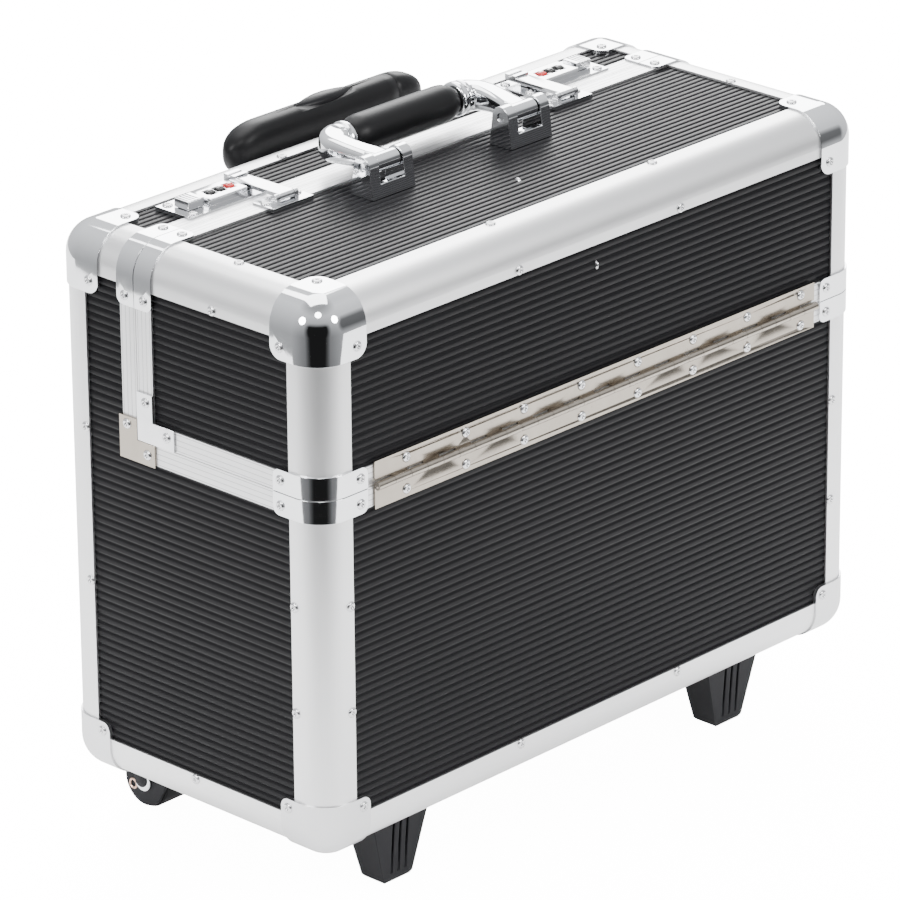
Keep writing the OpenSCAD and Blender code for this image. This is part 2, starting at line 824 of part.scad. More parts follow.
module lock_base(s) {
    difference() {
        at_lock(s) {
            difference() {
                union() {
                    translate([-lock_l / 2, -lock_w / 2, 0])
                        cube([lock_l, lock_w, lock_plate_t]);
                    translate([-lock_l / 2, rim_edge - lock_y, -skin_t])
                        cube([lock_l, lock_w / 2 - rim_edge + lock_y, skin_t + eps]);
                    translate([house_from, -house_w / 2, 0])
                        cube([house_to - house_from, house_w, house_top]);
                }
                for (i = [0 : 2])
                    translate([dial_first + i * dial_pitch - dial_w / 2 - slot_gap,
                        -dial_r - 0.5, -skin_t - 1])
                        cube([dial_w + 2 * slot_gap, 2 * dial_r + 1, house_top + 4]);
                translate([slider_from + 1.7, -3.3, -skin_t - 1])
                    cube([slider_travel + 7.6, 6.6, 5]);
                translate([slider_from + 0.7, -5.3, -skin_t - 1])
                    cube([slider_travel + 9.6, 10.6, skin_t + 1]);
                translate([hasp_at - 3.5, staple_y - lock_y - 2.5, -skin_t - 1])
                    cube([7, staple_l + 3.3, 5]);
            }
            translate([house_from + 1, 0, dial_z]) rotate([0, 90, 0])
                cylinder(r = axle_r, h = house_to - house_from - 2);
        }
        body_holes("top");
    }
}

module lock_base_left() color("gainsboro") placed() lock_base(-1);
module lock_base_right() color("gainsboro") placed() lock_base(1);

// A number dial with a knurled edge; i counts outwards from the hasp.
module dial(s, i) {
    at_lock(s) translate([dial_first + i * dial_pitch - dial_w / 2, 0, dial_z])
        rotate([0, 90, 0]) difference() {
            cylinder(r = dial_r, h = dial_w);
            translate([0, 0, -1]) cylinder(r = axle_r + 0.05, h = dial_w + 2);
            for (a = [18 : 36 : 342])
                rotate(a) translate([dial_r + 0.25, 0, -1]) cylinder(r = 0.6, h = dial_w + 2);
        }
}

module dial_left_1() color("red") placed() dial(-1, 0);
module dial_left_2() color("black") placed() dial(-1, 1);
module dial_left_3() color("black") placed() dial(-1, 2);
module dial_right_1() color("red") placed() dial(1, 0);
module dial_right_2() color("black") placed() dial(1, 1);
module dial_right_3() color("black") placed() dial(1, 2);

module slider(s) {
    at_lock(s) {
        difference() {
            translate([slider_from, -slider_w / 2, lock_plate_t + 0.3])
                cube([slider_l, slider_w, 5.5]);
            for (x = [3.5 : 2.5 : 11])
                translate([slider_from + x, -slider_w / 2 - 1, 6.4])
                    cube([1, slider_w + 2, 2]);
        }
        translate([slider_from + 2, -3, -0.3]) cube([7, 6, lock_plate_t + 0.7]);
        translate([slider_from + 1, -5, -skin_t + 0.3]) cube([9, 10, skin_t - 0.6 + eps]);
    }
}

module slider_left() color("gainsboro") placed() slider(-1);
module slider_right() color("gainsboro") placed() slider(1);

// Local frame of a hasp: the origin is on its pivot, over the middle of its keeper.
module at_hasp(s) {
    translate([lock_centre(s) + s * hasp_at, hasp_y, z1 + hasp_z]) children();
}

module keeper(s) {
    difference() {
        at_hasp(s) translate([0, 0, -hasp_z]) difference() {
            union() {
                translate([-keeper_w / 2, keeper_y - hasp_y, 0])
                    cube([keeper_w, split_y - 0.5 - keeper_y, keeper_t]);
                translate([-keeper_w / 2, keeper_y - hasp_y, -skin_t])
                    cube([keeper_w, split_y - rim_w - 0.2 - keeper_y, skin_t + eps]);
                for (a = [-1, 1])
                    translate([a * (hasp_w / 2 + 1.8) - 1.5, 0, 0]) {
                        translate([0, -hasp_r, keeper_t - eps])
                            cube([3, 2 * hasp_r, hasp_z - keeper_t + eps]);
                        translate([0, 0, hasp_z]) rotate([0, 90, 0])
                            cylinder(r = hasp_r, h = 3);
                    }
            }
        }
        lid_holes("top");
    }
    at_hasp(s) translate([-hasp_w / 2 - 3, 0, 0]) rotate([0, 90, 0])
        cylinder(r = hasp_pin_r, h = hasp_w + 6);
}

module hasp_keepers() color("gainsboro") placed() {
    keeper(-1);
    keeper(1);
}

module hasp(s) {
    reach = hasp_tip - hasp_y;
    at_hasp(s) difference() {
        union() {
            translate([-hasp_w / 2, 0, 0]) rotate([0, 90, 0])
                cylinder(r = hasp_r, h = hasp_w);
            translate([-hasp_w / 2, 0, 0]) cube([hasp_w, reach, hasp_r]);
            translate([-hasp_w / 2, reach - 9, 0]) cube([hasp_w, 9, 4]);
            translate([-2.5, staple_y - hasp_y, -hasp_z - 1]) cube([5, staple_l, hasp_z + 2]);
        }
        translate([-hasp_w / 2 - 1, 0, 0]) rotate([0, 90, 0])
            cylinder(r = hasp_pin_r + 0.05, h = hasp_w + 2);
        translate([-hasp_w / 2 - 1, reach - 4.5, 4]) rotate([0, 90, 0])
            cylinder(r = 1.2, h = hasp_w + 2);
        translate([-1.5, staple_y - hasp_y + 1.5, -hasp_z]) cube([3, staple_l, 2]);
    }
}

module hasp_left() color("gainsboro") placed() hasp(-1);
module hasp_right() color("gainsboro") placed() hasp(1);

// ---------------------------------------------------------------- carry handle

pivot_y = 2.85;
lobe_r = 6.85;
lobe_t = 8.2;
lobe_gap = 20.5;
barrel_w = 20;
handle_pin_r = 2.5;
sill_h = 7;
bar_r = 6;
arm_out = 72.5;
arm_in = 57.2;
arm_end_r = 8.2;

module at_handle() {
    translate([handle_x, pivot_y, z1 + pivot_h]) children();
}

// A bracket: two round-topped lobes on a foot plate, joined by a sill at the front.
module handle_bracket() {
    w = lobe_gap + 2 * lobe_t;
    difference() {
        union() {
            for (a = [-1, 1])
                translate([a * (lobe_gap + lobe_t) / 2 - lobe_t / 2, 0, 0]) {
                    translate([0, -lobe_r, -pivot_h]) cube([lobe_t, 2 * lobe_r, pivot_h]);
                    rotate([0, 90, 0]) cylinder(r = lobe_r, h = lobe_t);
                }
            translate([-w / 2, -lobe_r, -pivot_h - skin_t]) cube([w, 2 * lobe_r, skin_t + 2]);
            translate([-w / 2, -lobe_r, -pivot_h]) cube([w, 3, sill_h]);
        }
        translate([-w / 2 - 1, 0, 0]) rotate([0, 90, 0])
            cylinder(r = handle_pin_r + 0.05, h = w + 2);
    }
}

module handle_brackets() color("silver") placed() at_handle()
    for (s = [-1, 1]) translate([s * bracket_x, 0, 0]) handle_bracket();

module handle_pins() color("gray") placed() at_handle()
    for (s = [-1, 1])
        translate([s * bracket_x - lobe_gap / 2 - lobe_t + 1, 0, 0]) rotate([0, 90, 0])
            cylinder(r = handle_pin_r, h = lobe_gap + 2 * lobe_t - 2);

// One arm, seen from above, on the +X side.
module arm_plan() {
    corner_r = 7;
    x_in = bracket_x - barrel_w / 2;
    x_out = bracket_x + barrel_w / 2;
    polygon([[x_in, -lobe_r], [x_out, -lobe_r], [x_out, 8], [arm_out, 16],
        [arm_out, handle_reach], [arm_in, handle_reach], [arm_in, 22], [x_in, 12]]);
    translate([arm_in, handle_reach - eps])
        square([arm_out - arm_in - corner_r, arm_end_r]);
    translate([arm_in, handle_reach - 1])
        square([arm_out - arm_in, arm_end_r + 1 - corner_r]);
    translate([arm_out - corner_r, handle_reach + arm_end_r - corner_r]) circle(r = corner_r);
}

module arm_side() {
    circle(r = lobe_r - 0.15);
    translate([handle_reach, 0]) circle(r = arm_end_r);
    polygon([[0, -lobe_r + 0.15], [handle_reach, -arm_end_r],
        [handle_reach, arm_end_r], [0, lobe_r - 0.15]]);
}

module handle_arms() color("silver") placed() at_handle() {
    difference() {
        union() {
            both_sides() intersection() {
                translate([0, 0, -10]) linear_extrude(20) arm_plan();
                translate([30, 0, 0]) rotate([90, 0, 90]) linear_extrude(60) arm_side();
            }
            translate([-arm_in - 2, handle_reach, 0]) rotate([0, 90, 0])
                cylinder(r = bar_r, h = 2 * arm_in + 4);
        }
        translate([-arm_out - 20, 0, 0]) rotate([0, 90, 0])
            cylinder(r = handle_pin_r + 0.05, h = 2 * arm_out + 40);
    }
}

module handle_collars() color("white") placed() at_handle() both_sides()
    translate([grip_l / 2 + 0.1, handle_reach, 0]) rotate([0, 90, 0]) difference() {
        cylinder(r = grip_r - 1, h = arm_in - grip_l / 2 - 0.2);
        translate([0, 0, -1]) cylinder(r = bar_r, h = arm_in);
    }

module handle_grip() color("black") placed() at_handle()
    translate([-grip_l / 2, handle_reach, 0]) rotate([0, 90, 0]) difference() {
        cylinder(r = grip_r, h = grip_l);
        translate([0, 0, -1]) cylinder(r = bar_r, h = grip_l + 2);
    }

// ---------------------------------------------------------------- pull handle

tube_y = hy + tube_back;
outer_wall = 1.5;
slide_gap = 0.35;
middle_tube = [outer_tube[0] - 2 * outer_wall - 2 * slide_gap,
    outer_tube[1] - 2 * outer_wall - 2 * slide_gap];
middle_wall = 1.4;
inner_tube = [middle_tube[0] - 2 * middle_wall - 2 * slide_gap,
    middle_tube[1] - 2 * middle_wall - 2 * slide_gap];
tube_low = z0 + 12;
tube_high = z1 - 26;
tube_overlap = 59;
middle_low = tube_high - tube_overlap - pull_travel;
pull_h = 31;
pull_w = 22;
pull_low = z1 + pull_top - pull_h;
button_l = 52;
button_w = 13;
button_deep = 10;
button_proud = 3;
button_travel = 3;

module rounded_rect(w, d, r) {
    square([w - 2 * r, d], center = true);
    square([w, d - 2 * r], center = true);
    for (a = [-1, 1], b = [-1, 1]) translate([a * (w / 2 - r), b * (d / 2 - r)]) circle(r = r);
}

module tube(size, wall, low, high) {
    for (s = [-1, 1])
        translate([s * tube_x, tube_y, low]) linear_extrude(high - low) difference() {
            rounded_rect(size[0], size[1], 4);
            if (wall > 0) rounded_rect(size[0] - 2 * wall, size[1] - 2 * wall, 4 - wall);
        }
}

module pull_outer_tubes() color("gray") placed()
    tube(outer_tube, outer_wall, tube_low, tube_high);

// The blocks that hold the outer tubes against the back, top and bottom.
module pull_bracket(low, high, floor_t) {
    w = outer_tube[0] + 10;
    d = back_most - hy;
    for (s = [-1, 1])
        difference() {
            union() {
                translate([s * tube_x - w / 2, hy, low]) cube([w, d, high - low]);
                translate([s * tube_x - w / 2, hy - skin_t, max(low, z0 + edge_end)])
                    cube([w, skin_t + eps,
                        min(high, z1 - edge_end) - max(low, z0 + edge_end)]);
            }
            translate([s * tube_x, tube_y, low + floor_t]) linear_extrude(high - low + 2)
                rounded_rect(outer_tube[0], outer_tube[1], 4);
        }
}

module pull_brackets() color("black") placed() {
    pull_bracket(tube_low - 4, tube_low + 26, 4);
    pull_bracket(tube_high - 36, tube_high - 4, -1);
}

module pull_middle_tubes() color("gray") placed()
    tube(middle_tube, middle_wall, middle_low, tube_high + 2);

module pull_inner_tubes() color("gainsboro") placed()
    tube(inner_tube, 0, middle_low + 2, pull_low + 2);

module pull_grip_block() {
    intersection() {
        translate([-pull_half, tube_y, pull_low + pull_h / 2]) rotate([90, 0, 90])
            linear_extrude(2 * pull_half) rounded_rect(pull_w, pull_h, 10);
        translate([0, tube_y, pull_low]) linear_extrude(pull_h)
            rounded_rect(2 * pull_half, pull_w, 10);
        translate([0, tube_y + pull_w / 2, pull_low + pull_h / 2]) rotate([90, 0, 0])
            linear_extrude(pull_w) rounded_rect(2 * pull_half, pull_h, 14.5);
    }
}

// Leaf-shaped outline of the button, grown by the given margin.
module leaf(margin) {
    arc_r = (pow(button_l, 2) + pow(button_w, 2)) / (4 * button_w);
    intersection_for (a = [-1, 1])
        translate([0, a * (arc_r - button_w / 2)]) circle(r = arc_r + margin, $fn = 96);
}

module pull_grip() color("black") placed() difference() {
    pull_grip_block();
    translate([0, tube_y, pull_low + pull_h - button_deep]) linear_extrude(20)
        leaf(0.35);
    tube([inner_tube[0], inner_tube[1]], 0, pull_low - 1, pull_low + 2);
}

module pull_button() color("dimgray") placed()
    translate([0, tube_y, pull_low + pull_h - button_deep + button_travel + 0.3])
        linear_extrude(button_deep - button_travel - 0.3 + button_proud) leaf(0);

// ---------------------------------------------------------------- wheels and feet

wheel_y = hy + wheel_proud - wheel_r;
cheek_t = 2.2;
cheek_gap = 0.3;
housing_w = wheel_w + 2 * cheek_gap + 2 * cheek_t;
housing_x = hx - wheel_inset - housing_w / 2;
cheek_r = wheel_r - 1.5;
cheek_front = [-34, z0 - wheel_r];
cheek_back = [10, z0 - wheel_r];
housing_plate = 4;
axle_pin_r = 3;

// Where a straight edge from a point meets the cheek's round part; side is 1 or -1.
function touch(p, side) =
    let (a = atan2(p[1], p[0]) + side * acos(cheek_r / norm(p)))
    [cheek_r * cos(a), cheek_r * sin(a)];

// Side of a wheel housing: round about the axle, with straight edges up to the body.
module cheek_outline() {
    circle(r = cheek_r);
    polygon([cheek_front, touch(cheek_front, 1), [0, 0], touch(cheek_back, -1),
        cheek_back]);
}

module wheel_housings() color("black") placed() both_sides()
    translate([housing_x, wheel_y, wheel_r]) difference() {
        union() {
            translate([-housing_w / 2, cheek_front[0], z0 - wheel_r - housing_plate])
                cube([housing_w, cheek_back[0] - cheek_front[0], housing_plate]);
            for (a = [-1, 1])
                translate([a * (housing_w - cheek_t) / 2 - cheek_t / 2, 0, 0])
                    rotate([90, 0, 90]) linear_extrude(cheek_t) cheek_outline();
        }
        translate([-housing_w, 0, 0]) rotate([0, 90, 0])
            cylinder(r = axle_pin_r, h = 2 * housing_w);
    }

module wheel_axles() color("gainsboro") placed() both_sides()
    translate([housing_x - housing_w / 2 - 1.6, wheel_y, wheel_r]) rotate([0, 90, 0]) {
        cylinder(r = axle_pin_r, h = housing_w + 3.2);
        cylinder(r = 6.6, h = 1.6);
        translate([0, 0, housing_w + 1.6]) cylinder(r = 6.6, h = 1.6);
    }

module wheel(s) {
    translate([s * housing_x - wheel_w / 2, wheel_y, wheel_r]) rotate([0, 90, 0])
        difference() {
            cylinder(r = wheel_r, h = wheel_w);
            translate([0, 0, -1]) cylinder(r = axle_pin_r + 0.08, h = wheel_w + 2);
            for (z = [-1, wheel_w - 2])
                translate([0, 0, z]) difference() {
                    cylinder(r = wheel_r - 5, h = 3);
                    cylinder(r = 8, h = 3);
                }
        }
}

module wheel_left() color("black") placed() wheel(-1);
module wheel_right() color("black") placed() wheel(1);

foot_low = [25.5, 18.8];
foot_high = [50, 26];
foot_y = -hy + 36.6;

module front_feet() color("dimgray") placed() both_sides() translate([foot_x, foot_y, 0])
    difference() {
        intersection() {
            translate([0, 20, 0]) rotate([90, 0, 0]) linear_extrude(40)
                polygon([[-foot_low[0] / 2 + 2, 0], [foot_low[0] / 2 - 2, 0],
                    [foot_low[0] / 2, 2], [foot_high[0] / 2, z0], [-foot_high[0] / 2, z0],
                    [-foot_low[0] / 2, 2]]);
            translate([-30, 0, 0]) rotate([90, 0, 90]) linear_extrude(60)
                polygon([[-foot_low[1] / 2 + 1, 0], [foot_low[1] / 2 - 1, 0],
                    [foot_low[1] / 2, 2], [foot_high[1] / 2, z0], [-foot_high[1] / 2, z0],
                    [-foot_low[1] / 2, 2]]);
        }
        for (x = [-6, 0, 6]) translate([x - 1, -foot_high[1] / 2 - 1, 6])
            cube([2, 5, z0 - 12]);
    }

back_panel();
bottom_panel();
front_panel();
end_panels();
strip_panel();
bottom_edges();
upright_edges();
back_top_edge();
strip_edges();
body_rim();
body_ball_corners();
bottom_corners();
body_collars();
body_angle_plates();
body_rivets();
hinge_body_leaf();
hinge_pin();
body_lining();
lock_base_left();
lock_base_right();
dial_left_1();
dial_left_2();
dial_left_3();
dial_right_1();
dial_right_2();
dial_right_3();
slider_left();
slider_right();
front_feet();
wheel_housings();
wheel_axles();
wheel_left();
wheel_right();
pull_outer_tubes();
pull_brackets();
pull_middle_tubes();
pull_inner_tubes();
pull_grip();
pull_button();
lid_top_panel();
lid_front_panel();
lid_end_panels();
lid_front_edge();
lid_side_edges();
lid_rim();
lid_ball_corners();
lid_collars();
lid_angle_plates();
lid_rivets();
hinge_lid_leaf();
lid_lining();
hasp_keepers();
hasp_left();
hasp_right();
handle_brackets();
handle_pins();
handle_arms();
handle_collars();
handle_grip();
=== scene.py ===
import json
import math

import bmesh
import bpy
from mathutils import Matrix, Vector


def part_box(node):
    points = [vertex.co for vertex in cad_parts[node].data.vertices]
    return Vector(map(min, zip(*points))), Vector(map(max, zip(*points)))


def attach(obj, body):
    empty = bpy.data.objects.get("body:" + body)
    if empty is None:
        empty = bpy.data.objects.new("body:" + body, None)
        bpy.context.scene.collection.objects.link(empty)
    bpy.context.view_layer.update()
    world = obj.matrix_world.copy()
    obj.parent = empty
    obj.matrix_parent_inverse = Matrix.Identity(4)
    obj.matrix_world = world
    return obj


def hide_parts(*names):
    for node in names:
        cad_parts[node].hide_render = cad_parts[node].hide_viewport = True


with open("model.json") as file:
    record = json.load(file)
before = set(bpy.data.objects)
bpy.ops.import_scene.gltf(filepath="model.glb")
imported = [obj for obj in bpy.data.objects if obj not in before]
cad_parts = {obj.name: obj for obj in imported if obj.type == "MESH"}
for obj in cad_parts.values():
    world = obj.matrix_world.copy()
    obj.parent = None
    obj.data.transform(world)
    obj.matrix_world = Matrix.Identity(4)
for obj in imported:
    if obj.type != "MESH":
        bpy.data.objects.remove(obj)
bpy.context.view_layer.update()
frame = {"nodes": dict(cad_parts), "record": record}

MM = 0.001
RECORD = frame["record"]
BODY_OF = {n: b for b, nodes in RECORD["behaviour"]["bodies"].items() for n in nodes}
SLOT_OF = {s["node"]: s["material_slot"] for s in RECORD["subparts"]}
MIDDLE_Y = -9.3 * MM
MIDDLE_Z = 225 * MM


# ------------------------------------------------------------------ shader arithmetic

class Wire:
    """A node's output that can be used in Python arithmetic."""

    def __init__(self, bench, socket):
        self.bench, self.socket = bench, socket

    def sum(self, operation, *terms, clamp=False):
        return self.bench.node("ShaderNodeMath", {"operation": operation, "use_clamp": clamp},
                               dict(enumerate(terms)))

    def __add__(self, other):
        return self.sum("ADD", self, other)

    def __sub__(self, other):
        return self.sum("SUBTRACT", self, other)

    def __rsub__(self, other):
        return self.sum("SUBTRACT", other, self)

    def __mul__(self, other):
        return self.sum("MULTIPLY", self, other)

    def __truediv__(self, other):
        return self.sum("DIVIDE", self, other)

    def __pow__(self, other):
        return self.sum("POWER", self, other)

    def __gt__(self, other):
        return self.sum("GREATER_THAN", self, other)

    def __lt__(self, other):
        return self.sum("LESS_THAN", self, other)

    __radd__ = __add__
    __rmul__ = __mul__

    def clamped(self):
        return self.sum("ADD", self, 0.0, clamp=True)

    def absolute(self):
        return self.sum("ABSOLUTE", self)


class Bench:
    """One material (or the world) being wired up."""

    def __init__(self, tree):
        self.tree = tree
        tree.nodes.clear()

    def node(self, kind, settings=None, sockets=None, out=0):
        made = self.tree.nodes.new(kind)
        for key, value in (settings or {}).items():
            if key == "stops":
                self.set_stops(made.color_ramp, value)
            else:
                setattr(made, key, value)
        for key, value in (sockets or {}).items():
            if isinstance(value, Wire):
                self.tree.links.new(value.socket, made.inputs[key])
            else:
                made.inputs[key].default_value = value
        return Wire(self, made.outputs[out]) if made.outputs else None

    @staticmethod
    def set_stops(ramp, stops):
        while len(ramp.elements) < len(stops):
            ramp.elements.new(0.5)
        for element, (place, colour) in zip(ramp.elements, stops):
            element.position = place
            element.color = (*colour, 1) if len(colour) == 3 else colour

    def place(self):
        """Object coordinates."""
        return self.node("ShaderNodeTexCoord", out="Object")

    def axes(self):
        """The three object coordinates as separate numbers, in metres."""
        split = self.tree.nodes.new("ShaderNodeSeparateXYZ")
        self.tree.links.new(self.place().socket, split.inputs[0])
        return [Wire(self, s) for s in split.outputs]

    def vector(self, x, y, z):
        return self.node("ShaderNodeCombineXYZ", {}, {0: x, 1: y, 2: z})

    def noise(self, where, scale, detail=2.0, roughness=0.5):
        return self.node("ShaderNodeTexNoise", {}, {"Vector": where, "Scale": scale,
                         "Detail": detail, "Roughness": roughness}, out=0)

    def mix(self, amount, first, second):
        """Colour mix."""
        made = self.tree.nodes.new("ShaderNodeMix")
        made.data_type = "RGBA"
        for index, value in ((0, amount), (6, first), (7, second)):
            if isinstance(value, Wire):
                self.tree.links.new(value.socket, made.inputs[index])
            elif index:
                made.inputs[index].default_value = (*value, 1)
            else:
                made.inputs[index].default_value = value
        return Wire(self, made.outputs[2])

    def bump(self, height, strength, distance):
        return self.node("ShaderNodeBump", {}, {"Height": height, "Strength": strength,
                         "Distance": distance})


def finish_of(name, wire_up):
    """A material whose shader sockets are what wire_up(bench) returns."""
    made = bpy.data.materials.new(name)
    made.use_nodes = True
    bench = Bench(made.node_tree)
    shader = bench.node("ShaderNodeBsdfPrincipled", {}, wire_up(bench))
    bench.node("ShaderNodeOutputMaterial", {}, {"Surface": shader})
    return made


# ------------------------------------------------------------------ finishes

def ribbed_black(b):
    dust = b.noise(b.place(), 160, 4, 0.6)
    cloud = b.noise(b.place(), 9, 2)
    speck = (b.noise(b.place(), 900, 1) > 0.74) * 0.05
    return {"Base Color": b.mix((cloud * 0.5 + dust * 0.3 + speck).clamped(),
                                (0.0040, 0.0040, 0.0048), (0.0090, 0.0084, 0.0098)),
            "Roughness": 0.30 + dust * 0.12 + cloud * 0.05,
            "Specular IOR Level": 0.11,
            "Normal": b.bump(b.noise(b.place(), 1400, 2), 0.12, 0.0002)}


def drawn_satin(along, base=(0.90, 0.90, 0.905), rough=0.33):
    """Drawn aluminium with fine lines; along(bench, x, y, z) gives the pattern's place."""
    def wire_up(b):
        x, y, z = b.axes()
        where = along(b, x, y, z)
        lines = b.noise(where, 1.0, 3, 0.6)
        cloud = b.noise(b.place(), 14, 2)
        return {"Base Color": b.mix((lines * 0.55 + cloud * 0.35).clamped(), base,
                                    tuple(v * 0.90 for v in base)),
                "Metallic": 1.0,
                "Roughness": rough + lines * 0.10 + cloud * 0.05,
                "Normal": b.bump(lines, 0.10, 0.0002)}
    return wire_up


FINE, LONG = 2600.0, 14.0
SHORT_SIDE_X, POST_TOP_Z = 0.2139, 0.3759


def lines_x(b, x, y, z):
    return b.vector(x * LONG, y * FINE, z * FINE)


def lines_y(b, x, y, z):
    return b.vector(x * FINE, y * LONG, z * FINE)


def lines_z(b, x, y, z):
    return b.vector(x * FINE, y * FINE, z * LONG)


def lines_x_then_y(b, x, y, z):
    """Along X in the middle, along Y on the two short sides."""
    side = x.absolute() > SHORT_SIDE_X
    return b.vector(x * (LONG + side * (FINE - LONG)), y * (FINE - side * (FINE - LONG)),
                    z * FINE)


def lines_y_then_z(b, x, y, z):
    """Along Y on the long pieces at the top, along Z on the uprights."""
    post = z < POST_TOP_Z
    return b.vector(x * FINE, y * (LONG + post * (FINE - LONG)),
                    z * (FINE - post * (FINE - LONG)))


SPLIT_Y, SPLIT_Z, RIM_W = 31.7 * MM, 280.5 * MM, 13.4 * MM
RIM_GROOVE, GROOVE_HALF = 3.4 * MM, 0.075


def grooved_satin(b):
    """Satin metal with fine grooves that run beside the split; each groove also gets painted
    shade, a darker colour in its crevice.
    """
    x, y, z = b.axes()
    below, behind = (z - SPLIT_Z).absolute(), (y - SPLIT_Y).absolute()
    level = below < RIM_W
    away = below * level + behind * (1 - level)
    turn = away.sum("FRACT", away / RIM_GROOVE)
    groove_and_painted_shade = (turn - 0.5).absolute() < GROOVE_HALF
    made = drawn_satin(lines_x_then_y)(b)
    # Painted shade: the colour in each groove is pulled towards dark grey to stand in for the
    # shade inside it; the bump gives the dent.
    made["Base Color"] = b.mix(groove_and_painted_shade * 0.55, made["Base Color"], (0.30, 0.30, 0.31))
    made["Normal"] = b.bump(1 - groove_and_painted_shade, 0.6, 0.0003)
    return made


def mirror_chrome(b):
    haze = b.noise(b.place(), 60, 3)
    return {"Base Color": b.mix(haze, (0.87, 0.88, 0.89), (0.80, 0.81, 0.83)),
            "Metallic": 1.0,
            "Roughness": 0.045 + (haze ** 3) * 0.12,
            "Normal": b.bump(b.noise(b.place(), 120, 2), 0.03, 0.0003)}


def pressed_chrome(b):
    haze = b.noise(b.place(), 90, 3)
    fine = b.noise(b.place(), 700, 3)
    return {"Base Color": b.mix(haze, (0.86, 0.86, 0.87), (0.74, 0.75, 0.77)),
            "Metallic": 1.0,
            "Roughness": 0.10 + (haze ** 2) * 0.16,
            "Normal": b.bump(fine, 0.06, 0.0002)}


def warm_nickel(b):
    x, y, z = b.axes()
    # Streaks of tone that also paint faint vertical reflection bands into the nickel's colour.
    streak_and_painted_reflection = b.noise(b.vector(x * 55, y * 4, z * 4), 1.0, 3, 0.65)
    haze = b.noise(b.place(), 130, 3)
    return {"Base Color": b.mix((streak_and_painted_reflection * 1.2 - 0.1).clamped(), (0.44, 0.395, 0.34),
                                (0.35, 0.315, 0.27)),
            "Metallic": 1.0,
            "Roughness": 0.20 + haze * 0.10,
            "Normal": b.bump(haze, 0.05, 0.0003)}


def rivet_metal(b):
    haze = b.noise(b.place(), 400, 3)
    return {"Base Color": b.mix(haze, (0.83, 0.83, 0.84), (0.62, 0.62, 0.63)),
            "Metallic": 1.0,
            "Roughness": 0.16 + haze * 0.16,
            "Normal": b.bump(haze, 0.10, 0.0002)}


def copper(b):
    haze = b.noise(b.place(), 500, 3)
    return {"Base Color": b.mix(haze, (0.80, 0.56, 0.45), (0.62, 0.40, 0.31)),
            "Metallic": 1.0, "Roughness": 0.22 + haze * 0.12,
            "Normal": b.bump(haze, 0.06, 0.0002)}


def black_plastic(dark, light, rough, grain=900, strength=0.15):
    def wire_up(b):
        skin = b.noise(b.place(), grain, 3)
        cloud = b.noise(b.place(), 25, 2)
        return {"Base Color": b.mix((skin * 0.4 + cloud * 0.5).clamped(), dark, light),
                "Roughness": rough + cloud * 0.10 + skin * 0.06,
                "Specular IOR Level": 0.18,
                "Normal": b.bump(skin, strength, 0.0003)}
    return wire_up


def dial_enamel(dark, light):
    def wire_up(b):
        cloud = b.noise(b.place(), 500, 2)
        return {"Base Color": b.mix(cloud, dark, light), "Roughness": 0.22 + cloud * 0.1,
                "Normal": b.bump(cloud, 0.05, 0.0002)}
    return wire_up


THREADS = 5200.0


def lining_cloth(b):
    x, y, z = b.axes()
    def thread(v):
        return v.sum("SINE", v * THREADS)
    weave = thread(x) * thread(y) + thread(z) * thread(x + y)
    fluff = b.noise(b.place(), 300, 4)
    return {"Base Color": b.mix((weave * 0.25 + 0.35 + fluff * 0.3).clamped(),
                                (0.018, 0.018, 0.021), (0.055, 0.055, 0.062)),
            "Roughness": 0.9,
            "Sheen Weight": 0.25,
            "Normal": b.bump(weave * 0.5 + fluff * 0.4, 0.25, 0.0004)}


FINISH = {name: finish_of(name, maker) for name, maker in {
    "ribbed_black": ribbed_black,
    "satin_along_x": drawn_satin(lines_x),
    "satin_along_y": drawn_satin(lines_y),
    "satin_along_z": drawn_satin(lines_z),
    "satin_x_and_y": drawn_satin(lines_x_then_y),
    "satin_y_and_z": drawn_satin(lines_y_then_z),
    "grooved_satin": grooved_satin,
    "satin_cast": drawn_satin(lines_z, (0.80, 0.80, 0.81), 0.24),
    "mirror_chrome": mirror_chrome,
    "pressed_chrome": pressed_chrome,
    "warm_nickel": warm_nickel,
    "rivet_metal": rivet_metal,
    "copper": copper,
    "foot_plastic": black_plastic((0.0065, 0.0065, 0.0080), (0.013, 0.013, 0.0155), 0.50),
    "wheel_rubber": black_plastic((0.005, 0.005, 0.006), (0.012, 0.012, 0.013), 0.55, 500),
    "grip_black": black_plastic((0.0030, 0.0030, 0.0034), (0.0062, 0.0062, 0.0070), 0.33, 700,
                                0.08),
    "button_grey": black_plastic((0.0040, 0.0040, 0.0048), (0.0085, 0.0085, 0.0100), 0.28, 700,
                                 0.06),
    "dial_black": dial_enamel((0.012, 0.012, 0.012), (0.03, 0.03, 0.03)),
    "dial_red": dial_enamel((0.45, 0.01, 0.012), (0.62, 0.03, 0.03)),
    "lining_cloth": lining_cloth,
}.items()}


# ------------------------------------------------------------------ making pieces

def piece(name, bm, body, slot, finish, stands_for=(), sharp=30):
    """Turns a bmesh, already in place, into a piece that rides on a body."""
    mesh = bpy.data.meshes.new(name)
    bm.to_mesh(mesh)
    bm.free()
    for face in mesh.polygons:
        face.use_smooth = True
    mesh.set_sharp_from_angle(angle=math.radians(sharp))
    mesh.materials.append(FINISH[finish])
    made = bpy.data.objects.new(name, mesh)
    bpy.context.collection.objects.link(made)
    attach(made, body)
    if stands_for:
        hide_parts(*stands_for)
    return made


MERGE = 1e-6
FLAT = math.radians(0.4)


def merged_copy(node, flatten=True):
    """A CAD node's mesh with its corners joined up and, if asked, its flats made whole."""
    bm = bmesh.new()
    bm.from_mesh(frame["nodes"][node].data)
    bmesh.ops.remove_doubles(bm, verts=bm.verts, dist=MERGE)
    if flatten:
        bmesh.ops.dissolve_limit(bm, angle_limit=FLAT, verts=bm.verts, edges=bm.edges,
                                 delimit={"NORMAL"})
    return bm


